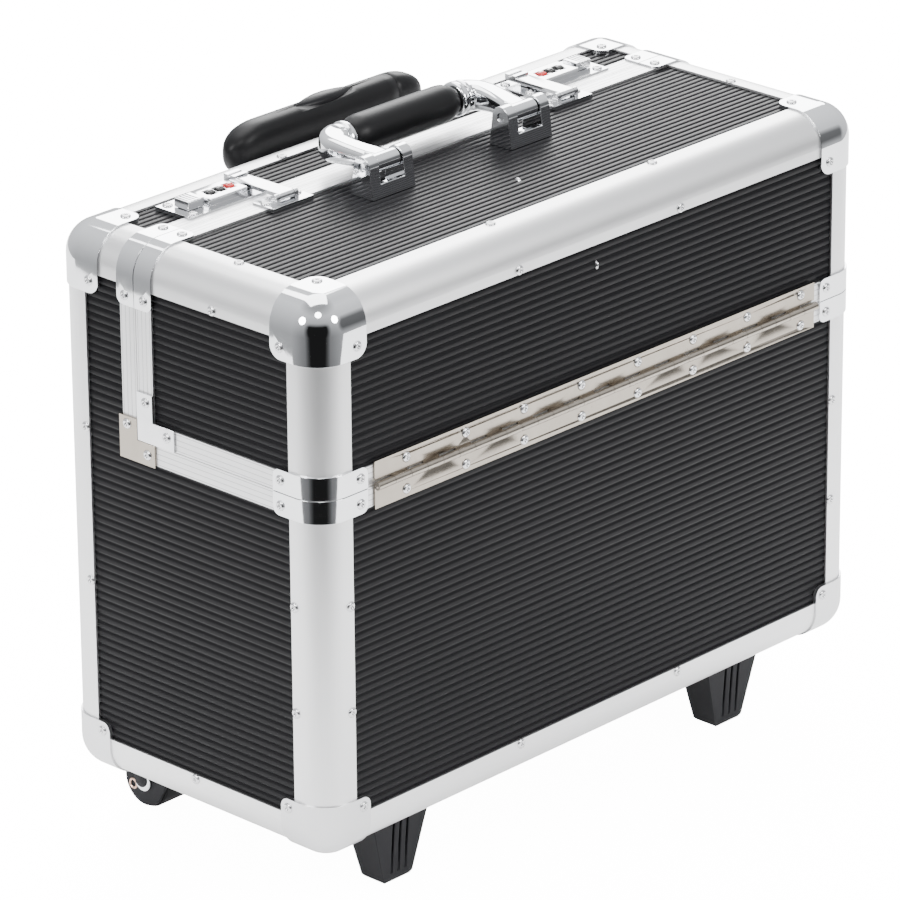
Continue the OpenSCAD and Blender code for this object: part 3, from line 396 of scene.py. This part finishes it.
def sealed(bm, merge=MERGE):
    """Joins the points that meet and turns every face outwards."""
    bmesh.ops.remove_doubles(bm, verts=bm.verts, dist=merge)
    bmesh.ops.recalc_face_normals(bm, faces=bm.faces)
    return bm


def ease_edges(made, width, segments=2, angle=28):
    """Rounds a piece's sharp edges over."""
    ease = made.modifiers.new("ease", "BEVEL")
    ease.width, ease.segments = width * MM, segments
    ease.limit_method, ease.angle_limit = "ANGLE", math.radians(angle)


def eased(node, finish, width):
    """A copy of a CAD node with its sharp edges rounded over."""
    made = piece(node + "_eased", merged_copy(node, width > 0), BODY_OF[node],
                 SLOT_OF[node], finish, (node,))
    if width:
        ease_edges(made, width)


def basis(across, along, origin):
    """A matrix that takes local X to across, local Y to along and local Z outwards."""
    a, l = Vector(across), Vector(along)
    return Matrix.Translation(origin) @ Matrix((a, l, a.cross(l))).transposed().to_4x4()


# ------------------------------------------------------------------ ribbed panels

RIB_PITCH, RIB_DEEP = 5.0 * MM, 0.95 * MM
RIB_STEPS, RIB_POWER = 8, 3.2


def rib_height(run):
    """How far the surface lies below its crests, at a distance across the ribs."""
    part = abs(2 * ((run / RIB_PITCH) % 1.0) - 1)
    return -RIB_DEEP * part ** RIB_POWER


def ribbed_sheet(bm, face, low, high, thick):
    """A ribbed sheet between two corners given across and along the ribs."""
    count = round((high[0] - low[0]) / RIB_PITCH * RIB_STEPS)
    flat = bmesh.ops.create_grid(bm, x_segments=count, y_segments=1, size=0.5)["verts"]
    for v in flat:
        run = low[0] + (v.co.x + 0.5) * (high[0] - low[0])
        v.co = (run, low[1] + (v.co.y + 0.5) * (high[1] - low[1]), rib_height(run))
    new = set(flat)
    sheet = [f for f in bm.faces if f.verts[0] in new]
    back = bmesh.ops.extrude_face_region(bm, geom=sheet, use_keep_orig=True)["geom"]
    back = [g for g in back if isinstance(g, bmesh.types.BMVert)]
    for v in back:
        v.co.z = -thick
    bmesh.ops.transform(bm, matrix=face, verts=flat + back)


def ribbed_panel(node, across, along):
    """A ribbed panel in the place of a plain CAD panel."""
    bm = bmesh.new()
    low, high = (Vector(corner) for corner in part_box(node))
    out = Vector(across).cross(Vector(along))
    thick = abs((high - low).dot(out))
    face_at = out * max(low.dot(out), high.dot(out))
    spans = [sorted((low.dot(Vector(d)), high.dot(Vector(d)))) for d in (across, along)]
    ribbed_sheet(bm, basis(across, along, face_at), (spans[0][0], spans[1][0]),
                 (spans[0][1], spans[1][1]), thick)
    bmesh.ops.recalc_face_normals(bm, faces=bm.faces)
    piece(node + "_ribbed", bm, BODY_OF[node], SLOT_OF[node], "ribbed_black", (node,),
          sharp=50)


for node, across, along in (("front_panel", (0, 0, 1), (-1, 0, 0)),
                            ("lid_front_panel", (0, 0, 1), (-1, 0, 0)),
                            ("back_panel", (0, 0, 1), (1, 0, 0)),
                            ("strip_panel", (0, 1, 0), (-1, 0, 0)),
                            ("lid_top_panel", (0, 1, 0), (-1, 0, 0)),
                            ("bottom_panel", (0, 1, 0), (1, 0, 0))):
    ribbed_panel(node, across, along)

low_end, high_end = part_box("end_panels")
lid_low, lid_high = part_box("lid_end_panels")
front_low, front_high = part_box("front_panel")
strip_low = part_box("strip_panel")[0]
sheet_t = front_high.y - front_low.y


def end_blocks(y0, y1, z0, z1, x_out):
    """The left and the right end's blocks."""
    return [[(-x_out, y0, z0), (-x_out + sheet_t, y1, z1)],
            [(x_out - sheet_t, y0, z0), (x_out, y1, z1)]]


def end_panel_pair(node, blocks):
    """The ribbed sheets of both ends, each made of one or more blocks."""
    for side, along in ((0, (0, 1, 0)), (1, (0, -1, 0))):
        bm = bmesh.new()
        out = Vector((0, 0, 1)).cross(Vector(along))
        for pair in blocks:
            low, high = Vector(pair[side][0]), Vector(pair[side][1])
            spans = sorted((low.dot(Vector(along)), high.dot(Vector(along))))
            ribbed_sheet(bm, basis((0, 0, 1), along, out * high_end.x),
                         (low.z, spans[0]), (high.z, spans[1]), sheet_t)
        bmesh.ops.recalc_face_normals(bm, faces=bm.faces)
        piece("%s_ribbed_%s" % (node, ("left", "right")[side]), bm, BODY_OF[node],
              SLOT_OF[node], "ribbed_black", (node,), sharp=50)


end_panel_pair("end_panels", [
    end_blocks(low_end.y, high_end.y, low_end.z, front_high.z, high_end.x),
    end_blocks(strip_low.y, high_end.y, front_high.z, high_end.z, high_end.x)])
end_panel_pair("lid_end_panels", [
    end_blocks(lid_low.y, lid_high.y, lid_low.z, lid_high.z, lid_high.x)])

# ------------------------------------------------------------------ rivets

RIVET_SIDES = 12
HEAD_T = 1.2
RIVET_PROFILE = ((0.01, 0.38), (0.95, 0.38), (1.1, 1.0), (1.45, 1.2), (1.95, 1.2),
                 (2.75, 0.92), (3.2, 0.45), (3.3, 0.0))


def islands(bm):
    """The separate shapes in a mesh, each as a list of its points."""
    seen = set()
    for first in bm.verts:
        if first in seen:
            continue
        seen.add(first)
        reached, part = [first], []
        while reached:
            v = reached.pop()
            part.append(v)
            for other in (e.other_vert(v) for e in v.link_edges):
                if other not in seen:
                    seen.add(other)
                    reached.append(other)
        yield part


def rivet_heads(node):
    """Rounded heads with a sunk centre, where the CAD node's rivets are."""
    source = merged_copy(node, flatten=False)
    bm = bmesh.new()
    middle = Vector((0, MIDDLE_Y, MIDDLE_Z))
    for part in islands(source):
        low = Vector([min(v.co[i] for v in part) for i in range(3)])
        high = Vector([max(v.co[i] for v in part) for i in range(3)])
        size, centre = high - low, (low + high) / 2
        axis = max(range(3), key=lambda i: size[i])
        out = Vector((0, 0, 0))
        out[axis] = 1 if centre[axis] > middle[axis] else -1
        seat = centre.copy()
        seat[axis] = (high if out[axis] > 0 else low)[axis] - out[axis] * HEAD_T * MM
        start = [bm.verts.new((r * MM, 0, z * MM)) for r, z in RIVET_PROFILE]
        line = [bm.edges.new(pair) for pair in zip(start, start[1:])]
        spun = bmesh.ops.spin(bm, geom=start + line, axis=(0, 0, 1), cent=(0, 0, 0),
                              angle=2 * math.pi, steps=RIVET_SIDES, use_merge=True)
        new = [v for v in bm.verts if not v.tag]
        bmesh.ops.transform(bm, verts=new, matrix=Matrix.Translation(seat)
                            @ out.to_track_quat("Z", "Y").to_matrix().to_4x4())
        for v in new:
            v.tag = True
    source.free()
    bmesh.ops.recalc_face_normals(bm, faces=bm.faces)
    piece(node + "_heads", bm, BODY_OF[node], SLOT_OF[node], "rivet_metal", (node,), sharp=50)


rivet_heads("body_rivets")
rivet_heads("lid_rivets")

# ------------------------------------------------------------------ metal pieces

for node, finish, width in (
        ("bottom_edges", "satin_x_and_y", 0.3), ("upright_edges", "satin_along_z", 0.3),
        ("back_top_edge", "satin_along_x", 0.3), ("strip_edges", "satin_along_y", 0.3),
        ("lid_front_edge", "satin_along_x", 0.3), ("lid_side_edges", "satin_y_and_z", 0.3),
        ("body_rim", "grooved_satin", 0.3), ("lid_rim", "grooved_satin", 0.3),
        ("body_ball_corners", "mirror_chrome", 0.35),
        ("lid_ball_corners", "mirror_chrome", 0.35),
        ("bottom_corners", "satin_cast", 0.35),
        ("body_collars", "mirror_chrome", 0.3), ("lid_collars", "mirror_chrome", 0.3),
        ("body_angle_plates", "warm_nickel", 0.25),
        ("lid_angle_plates", "pressed_chrome", 0.25),
        ("hinge_body_leaf", "warm_nickel", 0), ("hinge_lid_leaf", "warm_nickel", 0),
        ("hinge_pin", "warm_nickel", 0),
        ("lock_base_left", "pressed_chrome", 0.3),
        ("lock_base_right", "pressed_chrome", 0.3),
        ("slider_left", "pressed_chrome", 0.3), ("slider_right", "pressed_chrome", 0.3),
        ("hasp_keepers", "pressed_chrome", 0.25),
        ("hasp_left", "pressed_chrome", 0.35), ("hasp_right", "pressed_chrome", 0.35),
        ("handle_pins", "mirror_chrome", 0.3),
        ("wheel_axles", "mirror_chrome", 0.4),
        ("front_feet", "foot_plastic", 0.5), ("wheel_housings", "foot_plastic", 0.6),
        ("pull_brackets", "foot_plastic", 0.8),
        ("pull_outer_tubes", "satin_along_z", 0.2),
        ("pull_middle_tubes", "satin_along_z", 0.2),
        ("pull_inner_tubes", "satin_along_z", 0.2),
        ("wheel_left", "wheel_rubber", 1.2), ("wheel_right", "wheel_rubber", 1.2),
        ("dial_left_1", "dial_red", 0.2), ("dial_right_1", "dial_red", 0.2),
        ("dial_left_2", "dial_black", 0.2), ("dial_right_2", "dial_black", 0.2),
        ("dial_left_3", "dial_black", 0.2), ("dial_right_3", "dial_black", 0.2),
        ("body_lining", "lining_cloth", 0), ("lid_lining", "lining_cloth", 0)):
    eased(node, finish, width)

# ------------------------------------------------------------------ turned pieces

def turned(bm, profile, start, along, steps=48):
    """Spins a profile of (distance along, radius), in millimetres, about an axis."""
    axis = Vector(along)
    out = axis.orthogonal().normalized()
    points = [bm.verts.new(Vector(start) + axis * d * MM + out * r * MM)
              for d, r in profile]
    line = [bm.edges.new(pair) for pair in zip(points, points[1:])]
    bmesh.ops.spin(bm, geom=points + line, axis=axis, cent=start, angle=2 * math.pi,
                   steps=steps, use_merge=True)


grip_low, grip_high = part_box("handle_grip")
grip_middle = (grip_low + grip_high) / 2
grip_half = (grip_high.x - grip_low.x) / 2 / MM
GRIP_PROFILE = ((0, 0.02), (0, 7.6), (0.8, 8.8), (2.6, 9.8), (7.5, 11.6), (11, 11.97),
                (16, 12.0))

bm = bmesh.new()
half = [(-grip_half + d, r) for d, r in GRIP_PROFILE]
turned(bm, half + [(-d, r) for d, r in reversed(half)], grip_middle, (1, 0, 0), 64)
piece("handle_grip_turned", sealed(bm), "carry_handle", "grip_black", "grip_black",
      ("handle_grip",), sharp=35)

COLLAR_PROFILE = ((0.2, 6.1), (0.2, 9.6), (0.8, 10.6), (1.6, 11.0), (4.0, 11.0),
                  (4.8, 10.7), (5.1, 9.7), (5.8, 9.7), (6.1, 10.3), (6.8, 10.7),
                  (9.6, 10.5), (10.4, 9.8), (10.6, 6.1))
bm = bmesh.new()
for side in (-1, 1):
    start = grip_middle + Vector((side * grip_half * MM, 0, 0))
    turned(bm, COLLAR_PROFILE, start, (side, 0, 0))
piece("handle_collars_turned", sealed(bm), "carry_handle", "ball_chrome", "mirror_chrome",
      ("handle_collars",), sharp=35)

# ------------------------------------------------------------------ lofted pieces

def loft(bm, sections, points, power):
    """A closed form through sections (centre, across, up, half width, half height).

    Each section is a rounded rectangle; its half sizes are in millimetres."""
    def place(section):
        centre, across, up, half_width, half_height = section
        across, up = Vector(across), Vector(up)
        turn = Matrix((across * half_width * MM, up * half_height * MM,
                       across.cross(up))).transposed().to_4x4()
        return Matrix.Translation(Vector(centre)) @ turn

    ring = bmesh.ops.create_circle(bm, segments=points, radius=1)["verts"]
    for v in ring:
        angle = math.atan2(v.co.y, v.co.x)
        reach = (abs(math.cos(angle)) ** power + abs(math.sin(angle)) ** power) ** (-1 / power)
        v.co = (reach * math.cos(angle), reach * math.sin(angle), 0)
    edges = [e for e in bm.edges if all(v in ring for v in e.verts)]
    bmesh.ops.contextual_create(bm, geom=edges)
    now = place(sections[0])
    bmesh.ops.transform(bm, matrix=now, verts=ring)
    for section in sections[1:]:
        grown = bmesh.ops.extrude_edge_only(bm, edges=edges)["geom"]
        ring = [g for g in grown if isinstance(g, bmesh.types.BMVert)]
        edges = [g for g in grown if isinstance(g, bmesh.types.BMEdge)
                 and all(v in ring for v in g.verts)]
        then = place(section)
        bmesh.ops.transform(bm, matrix=then @ now.inverted(), verts=ring)
        now = then
    bmesh.ops.contextual_create(bm, geom=edges)


def carved(bm, cutter, overlapping=False):
    """What is left of a mesh when the cutter's shape is taken out of it."""
    objects = []
    for part in (bm, cutter):
        bmesh.ops.recalc_face_normals(part, faces=part.faces)
        mesh = bpy.data.meshes.new("carving")
        part.to_mesh(mesh)
        part.free()
        objects.append(bpy.data.objects.new("carving", mesh))
        bpy.context.collection.objects.link(objects[-1])
    cut = objects[0].modifiers.new("cut", "BOOLEAN")
    cut.object, cut.operation, cut.solver = objects[1], "DIFFERENCE", "EXACT"
    cut.use_self = overlapping
    left = bmesh.new()
    left.from_object(objects[0], bpy.context.evaluated_depsgraph_get())
    for made in objects:
        bpy.data.objects.remove(made)
    return left


pull_low, pull_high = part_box("pull_grip")
pull_middle = (pull_low + pull_high) / 2
pull_size = (pull_high - pull_low) / 2 / MM
TOP_ROUND, UNDER_ROUND, SIDE_ROUND = 27.0, 11.0, 15.0
SEAM_AT, SEAM_W, SEAM_DEEP = 57.0, 0.7, 0.975


def rounded_off(far, over, power=2.0):
    """How much of its full height an end has, at a distance from its tip."""
    return (1 - max(0.0, 1 - far / over) ** power) ** (1 / power)


def pull_section(x, shrink):
    """The pull grip's section at a distance from its middle."""
    far = pull_size.x - abs(x)
    top = pull_size.z * rounded_off(far, TOP_ROUND)
    under = pull_size.z * rounded_off(far, UNDER_ROUND)
    centre = pull_middle + Vector((x, 0, (top - under) / 2)) * MM
    return (centre, (0, 1, 0), (0, 0, 1), pull_size.y * rounded_off(far, SIDE_ROUND) * shrink,
            (top + under) / 2 * shrink)


FROM_TIP = (0.15, 0.6, 1.4, 2.6, 4.2, 6.2, 8.6, 11.4, 14.8, 18.6, 22.6, 27.0, 34.0)
outer_half = [pull_size.x - d for d in FROM_TIP]
stations = [-x for x in outer_half] + [-25.0, 0.0, 25.0] + list(reversed(outer_half))
seam = [(SEAM_AT - SEAM_W, 1.0), (SEAM_AT - SEAM_W / 2, SEAM_DEEP),
        (SEAM_AT + SEAM_W / 2, SEAM_DEEP), (SEAM_AT + SEAM_W, 1.0)]
rings = sorted([(x, 1.0) for x in stations if abs(x - SEAM_AT) > 1] + seam)
bm = bmesh.new()
loft(bm, [pull_section(x, shrink) for x, shrink in rings], points=48, power=2.7)

POCKET_ROOM = (1.016, 1.062, 2.0)
button_low, button_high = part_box("pull_button")
button_middle = (button_low + button_high) / 2
pocket = merged_copy("pull_button")
bmesh.ops.transform(pocket, verts=pocket.verts, matrix=Matrix.Translation(button_middle)
                    @ Matrix.Diagonal((*POCKET_ROOM, 1))
                    @ Matrix.Translation(-button_middle))
piece("pull_grip_moulded", carved(bm, pocket), "pull_inner", "grip_black", "grip_black",
      ("pull_grip",), sharp=38)

# The button is leaf-shaped with a low dome.
DOME_H, DOME_STEPS = 4.2 * MM, 6
bm = merged_copy("pull_button")
lid = max(bm.faces, key=lambda f: f.calc_center_median().z)
bmesh.ops.translate(bm, verts=lid.verts, vec=(0, 0, -DOME_H))
for step in range(1, DOME_STEPS):
    angle = math.pi / 2 * step / DOME_STEPS
    before = math.pi / 2 * (step - 1) / DOME_STEPS
    grown = bmesh.ops.extrude_discrete_faces(bm, faces=[lid])["faces"]
    lid = grown[0]
    shrink = math.cos(angle) / math.cos(before)
    rise = DOME_H * (math.sin(angle) - math.sin(before))
    bmesh.ops.transform(bm, verts=lid.verts, matrix=Matrix.Translation(
        button_middle + Vector((0, 0, rise))) @ Matrix.Diagonal((shrink, shrink, 1, 1))
        @ Matrix.Translation(-button_middle))
bmesh.ops.recalc_face_normals(bm, faces=bm.faces)
piece("pull_button_domed", bm, "pull_button", "button_grey", "button_grey",
      ("pull_button",), sharp=42)

# The carry handle's arms run back from a barrel and turn in a broad elbow to the grip.
bracket_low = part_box("handle_brackets")[0]
pin_low, pin_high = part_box("handle_pins")
pivot = (pin_low + pin_high) / 2
BARREL_X, BARREL_W, BARREL_R = 60.5, 19.2, 5.7
ARM_SECTIONS = (
    (0.0, 60.5, 8.6, 2.6), (0.7, 60.5, 9.2, 4.3), (3.0, 60.5, 9.5, 5.1),
    (9.0, 61.2, 9.1, 5.6), (16.0, 62.6, 8.6, 6.2), (24.0, 63.8, 8.4, 7.0),
    (30.0, 64.1, 8.5, 7.7))
ELBOW = Vector((53.2, 33.6))
ELBOW_R = grip_middle.y / MM - pivot.y / MM - ELBOW.y
ELBOW_STEPS = 8
BORE_R, BORE_REACH, BORE_MERGE = 2.9, 90.0, 1e-4
bm = bmesh.new()
for side in (-1, 1):
    out = Vector((side, 0, 0))
    sections = [(pivot + Vector((side * x, y, 0)) * MM, out, (0, 0, 1), w, h)
                for y, x, w, h in ARM_SECTIONS]
    for step in range(ELBOW_STEPS + 1):
        part = step / ELBOW_STEPS
        turn = math.pi / 2 * part
        out = Vector((side * math.cos(turn), math.sin(turn), 0))
        centre = Vector((side * ELBOW.x, ELBOW.y, 0)) + out * ELBOW_R
        sections.append((pivot + centre * MM, out, (0, 0, 1), 8.6 + 0.9 * part,
                         8.0 + 1.6 * part))
    loft(bm, sections, points=40, power=3.4)
    barrel = [(-BARREL_W / 2, 0.02), (-BARREL_W / 2, BARREL_R - 0.5),
              (-BARREL_W / 2 + 0.5, BARREL_R), (BARREL_W / 2 - 0.5, BARREL_R),
              (BARREL_W / 2, BARREL_R - 0.5), (BARREL_W / 2, 0.02)]
    turned(bm, barrel, pivot + Vector((side * BARREL_X * MM, 0, 0)), (1, 0, 0))
bmesh.ops.remove_doubles(bm, verts=bm.verts, dist=MERGE)
bore = bmesh.new()
turned(bore, [(-BORE_REACH, 0.02), (-BORE_REACH, BORE_R), (BORE_REACH, BORE_R),
              (BORE_REACH, 0.02)], pivot, (1, 0, 0), 32)
bmesh.ops.remove_doubles(bore, verts=bore.verts, dist=BORE_MERGE)
piece("handle_arms_cast", carved(bm, bore, True), "carry_handle", "tube_metal",
      "mirror_chrome", ("handle_arms",), sharp=40)

# The brackets widen towards their feet.
FLARE = 0.34
bm = merged_copy("handle_brackets")
for v in bm.verts:
    below = max(0.0, (pivot.z - v.co.z) / (pivot.z - bracket_low.z))
    v.co.y = pivot.y + (v.co.y - pivot.y) * (1 + FLARE * below)
bracket = piece("handle_brackets_cast", bm, "lid", "satin_fitting", "mirror_chrome",
                ("handle_brackets",), sharp=30)
ease_edges(bracket, 0.7)

# The ring rivet and the dark hub cap on the outer cheek of each wheel housing. The cap
# sits off centre, so a bright crescent of the axle's head shows beside it.
house_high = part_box("wheel_housings")[1]
wheel_low, wheel_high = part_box("wheel_left")
axle_y, axle_z = (wheel_low.y + wheel_high.y) / 2, (wheel_low.z + wheel_high.z) / 2
RING_PROFILE = ((-0.4, 3.6), (0.6, 3.6), (1.0, 3.2), (1.0, 2.7), (0.6, 2.2), (-0.4, 2.1),
                (-0.4, 3.6))
RING_CORE = ((-0.3, 2.1), (0.35, 2.0), (0.5, 1.6), (0.1, 1.3), (0.1, 0.02))
RING_AT, CAP_AT = (9.2, -4.6), (1.2, 1.4)
HUB_CAP = ((1.5, 0.02), (1.5, 5.5), (1.9, 5.5), (2.1, 5.2), (2.1, 0.02))
for name, profile, (dy, dz), slot, finish in (
        ("housing_rivet_ring", RING_PROFILE, RING_AT, "rivet_metal", "copper"),
        ("housing_rivet_core", RING_CORE, RING_AT, "foot_plastic", "foot_plastic"),
        ("hub_caps", HUB_CAP, CAP_AT, "foot_plastic", "foot_plastic")):
    bm = bmesh.new()
    for side in (-1, 1):
        at = (side * house_high.x, axle_y + dy * MM, axle_z + dz * MM)
        turned(bm, profile, at, (side, 0, 0), 32)
    piece(name, sealed(bm), "case_body", slot, finish, sharp=35)

# ------------------------------------------------------------------ floor, light, camera

WHITE = 14.0
BOUNCE = 0.62
AWAY = Vector((0.72, 0.69))


def floor_finish(b):
    cloud = b.noise(b.place(), 2.5, 2)
    seen = b.node("ShaderNodeLightPath", out="Is Camera Ray")
    return {"Base Color": b.mix(cloud, (0.88, 0.88, 0.88), (0.92, 0.92, 0.92)),
            "Roughness": 0.9, "Specular IOR Level": 0.1,
            "Emission Color": b.mix(seen, (BOUNCE,) * 3, (WHITE,) * 3),
            "Emission Strength": 1.0}


FLOOR_RADIUS, FLOOR_SHIFT, FLOOR_DROP = 1.65, 0.95, 0.0002
bm = bmesh.new()
bmesh.ops.create_circle(bm, cap_ends=True, segments=96, radius=FLOOR_RADIUS)
ground = bpy.data.meshes.new("floor")
bm.to_mesh(ground)
bm.free()
ground.materials.append(finish_of("floor_paint", floor_finish))
floor = bpy.data.objects.new("floor", ground)
floor.location = (FLOOR_SHIFT * AWAY.x, FLOOR_SHIFT * AWAY.y, -FLOOR_DROP)
bpy.context.collection.objects.link(floor)


LIGHT_AIM = Vector((0, 0, 0.22))


def softbox(name, azimuth, elevation, far, size, power, shape="DISK"):
    """A soft lamp that points at the case from a direction given in degrees."""
    a, e = math.radians(azimuth), math.radians(elevation)
    away = Vector((math.sin(a) * math.cos(e), -math.cos(a) * math.cos(e), math.sin(e)))
    lamp = bpy.data.lights.new(name, "AREA")
    lamp.shape, lamp.size, lamp.energy = shape, size, power
    made = bpy.data.objects.new(name, lamp)
    made.location = LIGHT_AIM + away * far
    made.rotation_mode = "QUATERNION"
    made.rotation_quaternion = (-away).to_track_quat("-Z", "Y")
    bpy.context.collection.objects.link(made)


softbox("overhead", 150, 74, 2.4, 2.0, 70, "SQUARE")
softbox("left_box", -98, 26, 2.8, 1.0, 52)
softbox("right_box", 12, 28, 2.8, 1.0, 52)
softbox("camera_box", -46, 50, 2.6, 0.8, 20)
softbox("back_box", 130, 30, 3.2, 1.8, 80)

# The room: brighter behind and above, with a dark doorway behind the camera, a dark flag to
# its right and a dimmer ceiling, which the polished metal shows.
DOORWAY, DOORWAY_SOFT, DOORWAY_TOP = 0.72, 7.0, 0.22
FLAG, FLAG_EDGE, FLAG_SOFT, FLAG_DARK = (0.668, 0.744, 0.08), 0.94, 20.0, 0.8
CEILING, CEILING_DARK = 0.70, 0.6
world = bpy.data.worlds.new("studio")
bpy.context.scene.world = world
world.use_nodes = True
sky = Bench(world.node_tree)
direction = sky.tree.nodes.new("ShaderNodeTexCoord")
split = sky.tree.nodes.new("ShaderNodeSeparateXYZ")
sky.tree.links.new(direction.outputs["Generated"], split.inputs[0])
dx, dy, dz = [Wire(sky, s) for s in split.outputs]
toward_back = dx * AWAY.x + dy * AWAY.y
doorway = (((0.0 - toward_back) - DOORWAY) * DOORWAY_SOFT).clamped() \
    * (1 - ((dz - DOORWAY_TOP) * 5.0).clamped())
flag = ((dx * FLAG[0] - dy * FLAG[1] + dz * FLAG[2] - FLAG_EDGE) * FLAG_SOFT).clamped()
ceiling = 1 - ((dz - CEILING) * 4.0).clamped() * CEILING_DARK
room = 0.015 + (0.72 + toward_back * 0.40 + dz * 0.60) * (1 - doorway) * ceiling \
    * (1 - flag * FLAG_DARK)
seen = sky.node("ShaderNodeLightPath", out="Is Camera Ray")
level = room + seen * (WHITE - room)
shade = sky.node("ShaderNodeBackground", {}, {
    "Color": sky.mix(seen, (0.96, 0.975, 1.0), (1.0, 1.0, 1.0)), "Strength": level})
sky.node("ShaderNodeOutputWorld", {}, {"Surface": shade})

camera_data = bpy.data.cameras.new("camera")
camera = bpy.data.objects.new("camera", camera_data)
bpy.context.collection.objects.link(camera)
AZIMUTH, ELEVATION, ROLL = math.radians(-46.322), math.radians(22.568), math.radians(-0.478)
back = Vector((math.sin(AZIMUTH) * math.cos(ELEVATION),
               -math.cos(AZIMUTH) * math.cos(ELEVATION), math.sin(ELEVATION)))
right = Vector((math.cos(AZIMUTH), math.sin(AZIMUTH), 0))
up = back.cross(right)
right, up = (right * math.cos(ROLL) + up * math.sin(ROLL),
             up * math.cos(ROLL) - right * math.sin(ROLL))
FAR, LEFTWARD, DOWNWARD = 3.789, 0.01257, 0.01288
eye = Vector((0, MIDDLE_Y, MIDDLE_Z)) + back * FAR - right * LEFTWARD - up * DOWNWARD
camera.matrix_world = Matrix.Translation(eye) @ Matrix((right, up, back)).transposed().to_4x4()
camera_data.lens = 245.7
camera_data.sensor_width = 36
camera_data.shift_x = 0.00216
camera_data.shift_y = 0.0008
camera_data.clip_start, camera_data.clip_end = 0.1, 50
bpy.context.scene.camera = camera
